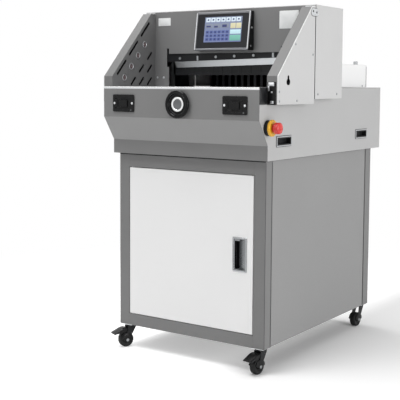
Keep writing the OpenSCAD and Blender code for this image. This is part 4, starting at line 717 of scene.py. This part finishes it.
def displayGrid(left, bottom, width, height, raised, corner):
    # plate on the glass, with its place and size as fractions of the display
    w, h = screen["display"]
    u = screen["centre"][0] + (left + width / 2 - 0.5) * w
    v = screen["centre"][1] + (bottom + height / 2 - 0.5) * h
    at = onScreen(u, v, screen["glass"])
    return plateGrid(width * w, height * h, raised, corner, at, toScreen, screen["keyEdge"])


film = litPanel("displayFilm", "#717b92", "#6f7aa5", 0.13)
makePiece("displayFilm", [displayGrid(0, 0, 1, 1, *screen["film"])], film, "machine")
for tone, cells in keyRows.items():
    name, form = "display" + tone.capitalize(), screen["mark" if tone == "mark" else "key"]
    lit = litPanel(name + "Tone", *keyTones[tone])
    makePiece(name + "s", [displayGrid(*cell, *form) for cell in cells], lit, "machine")
print("screen made")


# Handwheel: turned rim with a knurled edge, bright ring, grey centre

_, _, (wheelX, _, wheelZ) = boxMm("handwheel")
wheel = {"centre": place(wheelX, 0, wheelZ), "axis": (0, -1, 0), "lobes": 40, "knurl": 0.3,
         "knurlFrom": 48, "knurlOver": 3}
rimProfile = np.vstack([[(5.2, 4), (43, 4)], arcProfile(44, 11, 7, -90, 90, 15),
                        arcProfile(44, 12, 6, 100, 165, 6),
                        [(36.6, 9), (35, 7.4), (31, 6.9), (29, 7.5), (5.2, 7.5)]])
ringProfile = np.vstack([[(26.5, 7), (26.5, 8.6)], arcProfile(25.1, 8.6, 1.4, 0, 90, 5), [(20, 10)],
                         arcProfile(20, 8.6, 1.4, 90, 180, 4), [(18.6, 7)]])
capProfile = [(0, 7), (18.5, 7), (18.5, 8.0), (17.6, 8.7), (9, 8.5), (7.5, 8.1), (0, 8.0)]
lineProfile = arcProfile(37.0, 10.2, 0.8, 0, 330, 11)
rimWeight = np.clip((rimProfile[:, 0] - wheel["knurlFrom"]) / wheel["knurlOver"], 0, 1)[:, None]


def knurl(angle):  # added radius = cosine of the lobes, only near the rim
    return rimWeight * wheel["knurl"] * np.cos(wheel["lobes"] * angle)


rim = turnedGrid(rimProfile, wheel["centre"], wheel["axis"], 240, knurl, closed=True)
makePiece("handwheelRim", [rim], wheelPlastic, "handwheel", replaces=["handwheel"])
ring = turnedGrid(ringProfile, wheel["centre"], wheel["axis"], closed=True)
makePiece("handwheelRing", [ring], nosingSteel, "handwheel", replaces=["handwheel_cap"])
cap = turnedGrid(capProfile, wheel["centre"], wheel["axis"])
makePiece("handwheelCentre", [cap], greyCap, "handwheel")
line = turnedGrid(lineProfile, wheel["centre"], wheel["axis"], closed=True)
makePiece("handwheelLine", [line], darkAluminium, "handwheel")
print("handwheel made")


# Button plates: a raised frame round each button and a small lamp in the corner

buttons = {"frame": (58, 37), "corner": 6.0, "floor": -1.5, "lamp": (36, -25)}
buttonProfile = [(0, -0.1), (0, 0.9), (0.6, 1.4), (1.6, 1.4), (2.4, 0.8), (2.4, -0.1)]
lampLoop = [(0, -0.1), (2.6, -0.1), (2.6, 0.4), (1.6, 0.9), (0, 1.1)]
frameGrids, lampGrids = [], []
for x in (-buttonX, buttonX):
    frameGrids.append(outlinedGrid(*buttons["frame"], buttons["corner"], buttonProfile,
                                   place(x, buttons["floor"], buttonZ), toFront, closed=True))
    lampAt = place(x + buttons["lamp"][0], buttonFace, buttonZ + buttons["lamp"][1])
    lampGrids.append(turnedGrid(lampLoop, lampAt, (0, -1, 0), 24))
makePiece("buttonFrames", frameGrids, blackGloss, "machine")
makePiece("buttonLamps", lampGrids, greyCap, "machine")
print("button frames made")


# Emergency stop: domed mushroom and a black sleeve round the foot of its collar, dark in part as painted
# shade of the collar's rim

_, _, (_, stopY, stopZ) = boxMm("estop_button")
stop = {"centre": place(casingSide, stopY, stopZ), "axis": (1, 0, 0)}
mushroom = np.vstack([[(0, 20), (13, 20), (13, 31.8), (18.5, 32), (20, 34), (20, 44)],
                      arcProfile(14.5, 46.2, 5.5, 0, 62, 7), [(13, 52.6), (7, 53.6), (0, 54)]])
makePiece("estopMushroom", [turnedGrid(mushroom, stop["centre"], stop["axis"])], redPlastic, "estop",
          replaces=["estop_button"])
shadeSleeve = [(22, 0.2), (27, 0.2), (27, 2.4), (24.6, 3.2), (24.2, 14.0), (23.6, 14.8), (22, 14.8)]
makePiece("estopShadeSleeve", [turnedGrid(shadeSleeve, stop["centre"], stop["axis"], closed=True)], blackAbs, "machine")
print("emergency stop made")


# Frames of the side grips and of the door pull, with black painted shade round the grips and in the pull's
# recess

(_, gripFront, _), (gripSide, gripRear, _), (_, _, gripZ) = boxMm("side_grips")
grip = {"w": 108, "h": 36, "corner": 3.0, "shadeRim": 1.8, "shadeRimCorner": 4.5,
        "inset": 52.5}  # from the outer end of a grip to its middle
gripProfile = [(0, -1.4), (0, 0.6), (0.8, 1.3), (3.2, 1.3), (4.2, 0.4), (4.2, -1.4)]
# black rim round each grip frame: painted shade where the frame meets the casing
shadeRimProfile = [(0, -0.1), (0, 0.5), (0.4, 0.9), (1.4, 0.9), (1.8, -0.1)]
gripGrids, shadeRimGrids = [], []
frameSize = grip["w"], grip["h"], grip["corner"]
shadeRimSize = grip["w"] + 2 * grip["shadeRim"], grip["h"] + 2 * grip["shadeRim"], grip["shadeRimCorner"]
for s, side in bothSides:
    for y in (gripFront + grip["inset"], gripRear - grip["inset"]):
        gripGrids.append(outlinedGrid(*frameSize, gripProfile, place(s * gripSide, y, gripZ), side,
                                      closed=True))
        shadeRimGrids.append(outlinedGrid(*shadeRimSize, shadeRimProfile, place(s * casingSide, y, gripZ), side,
                                        closed=True))
makePiece("gripFrames", gripGrids, gripSilver, "machine")
makePiece("gripShadeRims", shadeRimGrids, blackAbs, "machine")

_, _, (pullX, _, pullZ) = boxMm("door_pull")
pull = {"w": 60, "h": 124, "corner": 3.0, "wellSize": (13, 104, 0.8, 2.0), "wellX": 205.6, "wellY": 89.4,
        "lipT": 1.4, "lipCorner": 0.8,
        "lips": [(4.5, 114, 198.2, pullZ), (26, 8, 208.5, 473.5), (20, 4, 206, 365.5)]}  # width, height, x, z
pullProfile = [(0, 0), (0, 1.4), (1.2, 2.6), (3.2, 3.0), (4.8, 2.4), (5.6, 1.2), (5.6, 0)]
pullGrid = outlinedGrid(pull["w"], pull["h"], pull["corner"], pullProfile, place(pullX, standFront, pullZ),
                        toFront, closed=True)
makePiece("pullBezel", [pullGrid], chromePlate, "stand_door")
# black plate in the pull's recess: painted shade where the recess lies in shadow
wellGrid = plateGrid(*pull["wellSize"], place(pull["wellX"], pull["wellY"], pullZ), toFront)
makePiece("pullWellShade", [wellGrid], paintedShadeBlack, "stand_door")
lipGrids = [plateGrid(w, h, pull["lipT"], pull["lipCorner"], place(x, standFront, z), toFront)
            for w, h, x, z in pull["lips"]]
makePiece("pullLips", lipGrids, satinNickel, "stand_door")
print("grips and pull made")


# Casters: turned tyre with two grooves, hub disc, cheeks outside the fork, nuts on the axle, pedal mouldings

tyre = {"radius": 29, "groove": 0.8, "bore": 18.5}
cheek = {"foot": 10.5, "broad": 26.0, "from": -0.2, "blend": 0.45,  # from, blend: sines of the angle
         "profile": [(0, 16.1), (1, 16.1), (1, 17.2), (0.96, 17.8), (0.55, 18.4), (0, 18.5)]}
tread, trough = tyre["radius"], tyre["radius"] - tyre["groove"]
tyreSide = np.vstack([[(tyre["bore"], 11.2), (20.5, 11.8), (24.0, 11.9)],
                      arcProfile(24.2, 7.1, 4.8, 88, 0, 8),
                      [(tread, 5.2), (trough, 4.6), (trough, 3.4), (tread, 2.8)]])
tyreProfile = np.vstack([[(tyre["bore"], -10.0)], tyreSide * [1, -1], tyreSide[::-1], [(tyre["bore"], 10.0)]])
hubSide = np.array([(4.1, 12), (8.6, 12), (10.2, 9.6), (16.5, 8.8), (18.7, 9.8)])
hubProfile = np.vstack([hubSide * [1, -1], hubSide[::-1]])
nutLoop = [(0, 16.0), (6.6, 16.0), (6.6, 18.6), (5.8, 19.6), (0, 19.6)]


def cheekGrid(middle, axis, s):
    # cheek outside a fork leg: its radius grows smoothly from foot to broad with the sine of the angle
    angle = np.linspace(0, 2 * np.pi, 72, endpoint=False)
    t = np.clip((np.sin(angle) - cheek["from"]) / cheek["blend"], 0, 1)
    radius = cheek["foot"] + (cheek["broad"] - cheek["foot"]) * t * t * (3 - 2 * t)
    up = np.array([0, 0, 1.0])
    ring = (radius * np.cos(angle))[:, None] * np.cross(axis, up) + (radius * np.sin(angle))[:, None] * up
    steps = np.array(cheek["profile"])
    return middle + (steps[:, 0, None, None] * ring + steps[:, 1, None, None] * s * axis) * mm, False, True


for corner in casterCorners:
    hinge = joints["roll_" + corner]
    middle, axis = np.array(hinge["pos_m"]), np.array(hinge["axis"])
    makePiece("casterTyre." + corner, [turnedGrid(tyreProfile, middle, axis, 72, closed=True)], tyreRubber,
              "wheel_" + corner, replaces=["caster_wheel_" + corner])
    makePiece("casterHub." + corner, [turnedGrid(hubProfile, middle, axis, 48, closed=True)], blackGloss,
              "wheel_" + corner)
    makePiece("forkCheeks." + corner, [cheekGrid(middle, axis, s) for s in (-1, 1)], blackGloss,
              "caster_" + corner)
    nuts = [turnedGrid(nutLoop, middle, s * axis, 6) for s in (-1, 1)]
    makePiece("axleNuts." + corner, nuts, machinedSteel, "caster_" + corner)

shell = {"reach": [26, 30, 38, 46, 56, 66, 74, 78], "skirt": [2.5, 12, 16, 15, 11, 8, 5, 2.5], "half": 19,
         "wall": 2.0, "roof": 2.5, "bevel": (2.5, 1.6), "rise": 2.4,
         "pedal": ([10, 41, 77], [76.2, 73.2, 57.2])}  # the pedal's top line: distance, height


def shellGrid(side):
    # moulding over a pedal: a channel section drawn along the pedal's top line, skirts by station
    swivel, roll = (np.array(joints[kind + "_front_" + side]["pos_m"]) for kind in ("swivel", "roll"))
    ahead = (roll - swivel) * [1, 1, 0]
    ahead /= np.linalg.norm(ahead)
    across = np.cross((0, 0, 1), ahead)
    reach, skirt = np.array(shell["reach"], float), np.array(shell["skirt"], float)
    top = np.interp(reach, *shell["pedal"]) + shell["rise"]
    w, inner = shell["half"], shell["half"] - shell["wall"]
    shoulder, flat = w - shell["bevel"][0], 0 * skirt
    bevel, roof = flat + shell["bevel"][1], flat + shell["roof"]
    u = np.array([-w, -w, -shoulder, shoulder, w, w, inner, inner, -inner, -inner])
    drop = np.stack([skirt, bevel, flat, flat, bevel, skirt, skirt, roof, roof, skirt], 1)
    height = (top[:, None] - drop)[..., None] * [0, 0, 1]
    loops = reach[:, None, None] * ahead + u[None, :, None] * across + height
    return closeEnds(swivel * [1, 1, 0] + loops * mm)


for side in ("left", "right"):
    makePiece("pedalShell." + side, [shellGrid(side)], blackGloss, "pedal_" + side)
print("casters made")


# Light windows of the wings: rings and lenses on the inner faces

window = {"x": casingSide, "first": (122, 1046), "pitch": 61, "count": 4, "lean": math.radians(44.07)}
windowLoops = {  # closed ring or not, material, slot, loop of radius and height
    "windowRings": (True, zincSteel, "machined_steel",
                    [(9.6, -0.4), (12.8, -0.4), (12.8, 0.7), (12.2, 1.2), (10.4, 1.2), (9.6, 0.6)]),
    "windowLenses": (False, lensAcrylic, "black_plastic",
                     [(0, -0.2), (5.2, -0.2), (5.2, 0.4), (3.4, 1.1), (0, 1.4)]),
    "windowBases": (False, blackAbs, "black_plastic", [(0, -0.4), (9.7, -0.4), (9.7, -0.1), (0, -0.1)]),
}
windowY, windowZ = window["first"]
stepY, stepZ = window["pitch"] * math.sin(window["lean"]), window["pitch"] * math.cos(window["lean"])
spots = [(s, windowY + i * stepY, windowZ + i * stepZ) for s in (-1, 1) for i in range(window["count"])]
for name, (closed, material, slotName, loop) in windowLoops.items():
    grids = [turnedGrid(loop, place(s * window["x"], y, z), (-s, 0, 0), 36, closed=closed)
             for s, y, z in spots]
    makePiece(name, grids, material, "machine")
print("light windows made")


# Rear: knobs of the cover and grey strips of painted shade along its edges, pressed louvres in the casing,
# blades of the inlet

rear = {"knobs": [(s * 280, 878, 1106) for s in (-1, 1)],
        "edges": [(4.4, 84, 0.5, 0.4, 940.6, 1057), (6, 8, 0.5, 0.4, 904, 1018.5)],
        "edgeSoft": 0.2,  # edges: width, height, thickness, corner radius, y, z
        "louvres": [(x, z) for x in (60, 180) for z in range(800, 980, 24)],
        "louvre": (92, 11, 4.0), "fade": 9,  # fade: how steeply a louvre's ends fall
        "blades": [(-240, 980, 803), (-247, 980, 797), (-233, 980, 797)], "blade": (2.0, 6.5, 12.0, 0.5)}
knobLoop = np.vstack([[(0, -0.1), (9.2, -0.1), (9.2, 9.5)],
                      arcProfile(5.2, 11.0, 4.0, 0, 90, 5), [(0, 15.4)]])
knobGrids = [turnedGrid(knobLoop, place(*at), (0, 0, 1), 40) for at in rear["knobs"]]
makePiece("coverKnobs", knobGrids, gripSilver, "rear_cover")
# grey strips along the cover's rear edge: painted shade of its fold, with a small grey foot below
edgeShadeStrips = [plateGrid(*plate, place(s * rearSide, y, z), side, rear["edgeSoft"]) for s, side in bothSides
              for *plate, y, z in rear["edges"]]
makePiece("coverEdgeShades", edgeShadeStrips, greyCap, "rear_cover")


def louvreGrid(x, z):
    # height = rises steeply at the lower lip and falls slowly towards the top edge, fading to both ends
    w, h, t = rear["louvre"]
    u = np.linspace(-1, 1, 17)[:, None]
    v = np.array([0, 0.04, 0.1, 0.25, 0.5, 0.75, 1.0])
    rise = np.array([0, 0.75, 0.95, 1.0, 0.8, 0.42, 0])
    fade = np.clip((1 - abs(u)) * rear["fade"], 0, 1) ** 0.5
    flat = np.stack([u * w / 2 + 0 * v, (v - 0.5) * h + 0 * u, t * rise * fade - sunk / 2], -1) * mm
    return place(x, casingRear, z) + flat @ toRear, False, False


louvres = [louvreGrid(x, z) for x, z in rear["louvres"]]
makePiece("rearLouvres", louvres, sidePaint, "machine")
bladeGrids = [plateGrid(*rear["blade"], place(*at), toRear) for at in rear["blades"]]
makePiece("inletBlades", bladeGrids, nickelBrass, "machine")
print("rear pieces made")
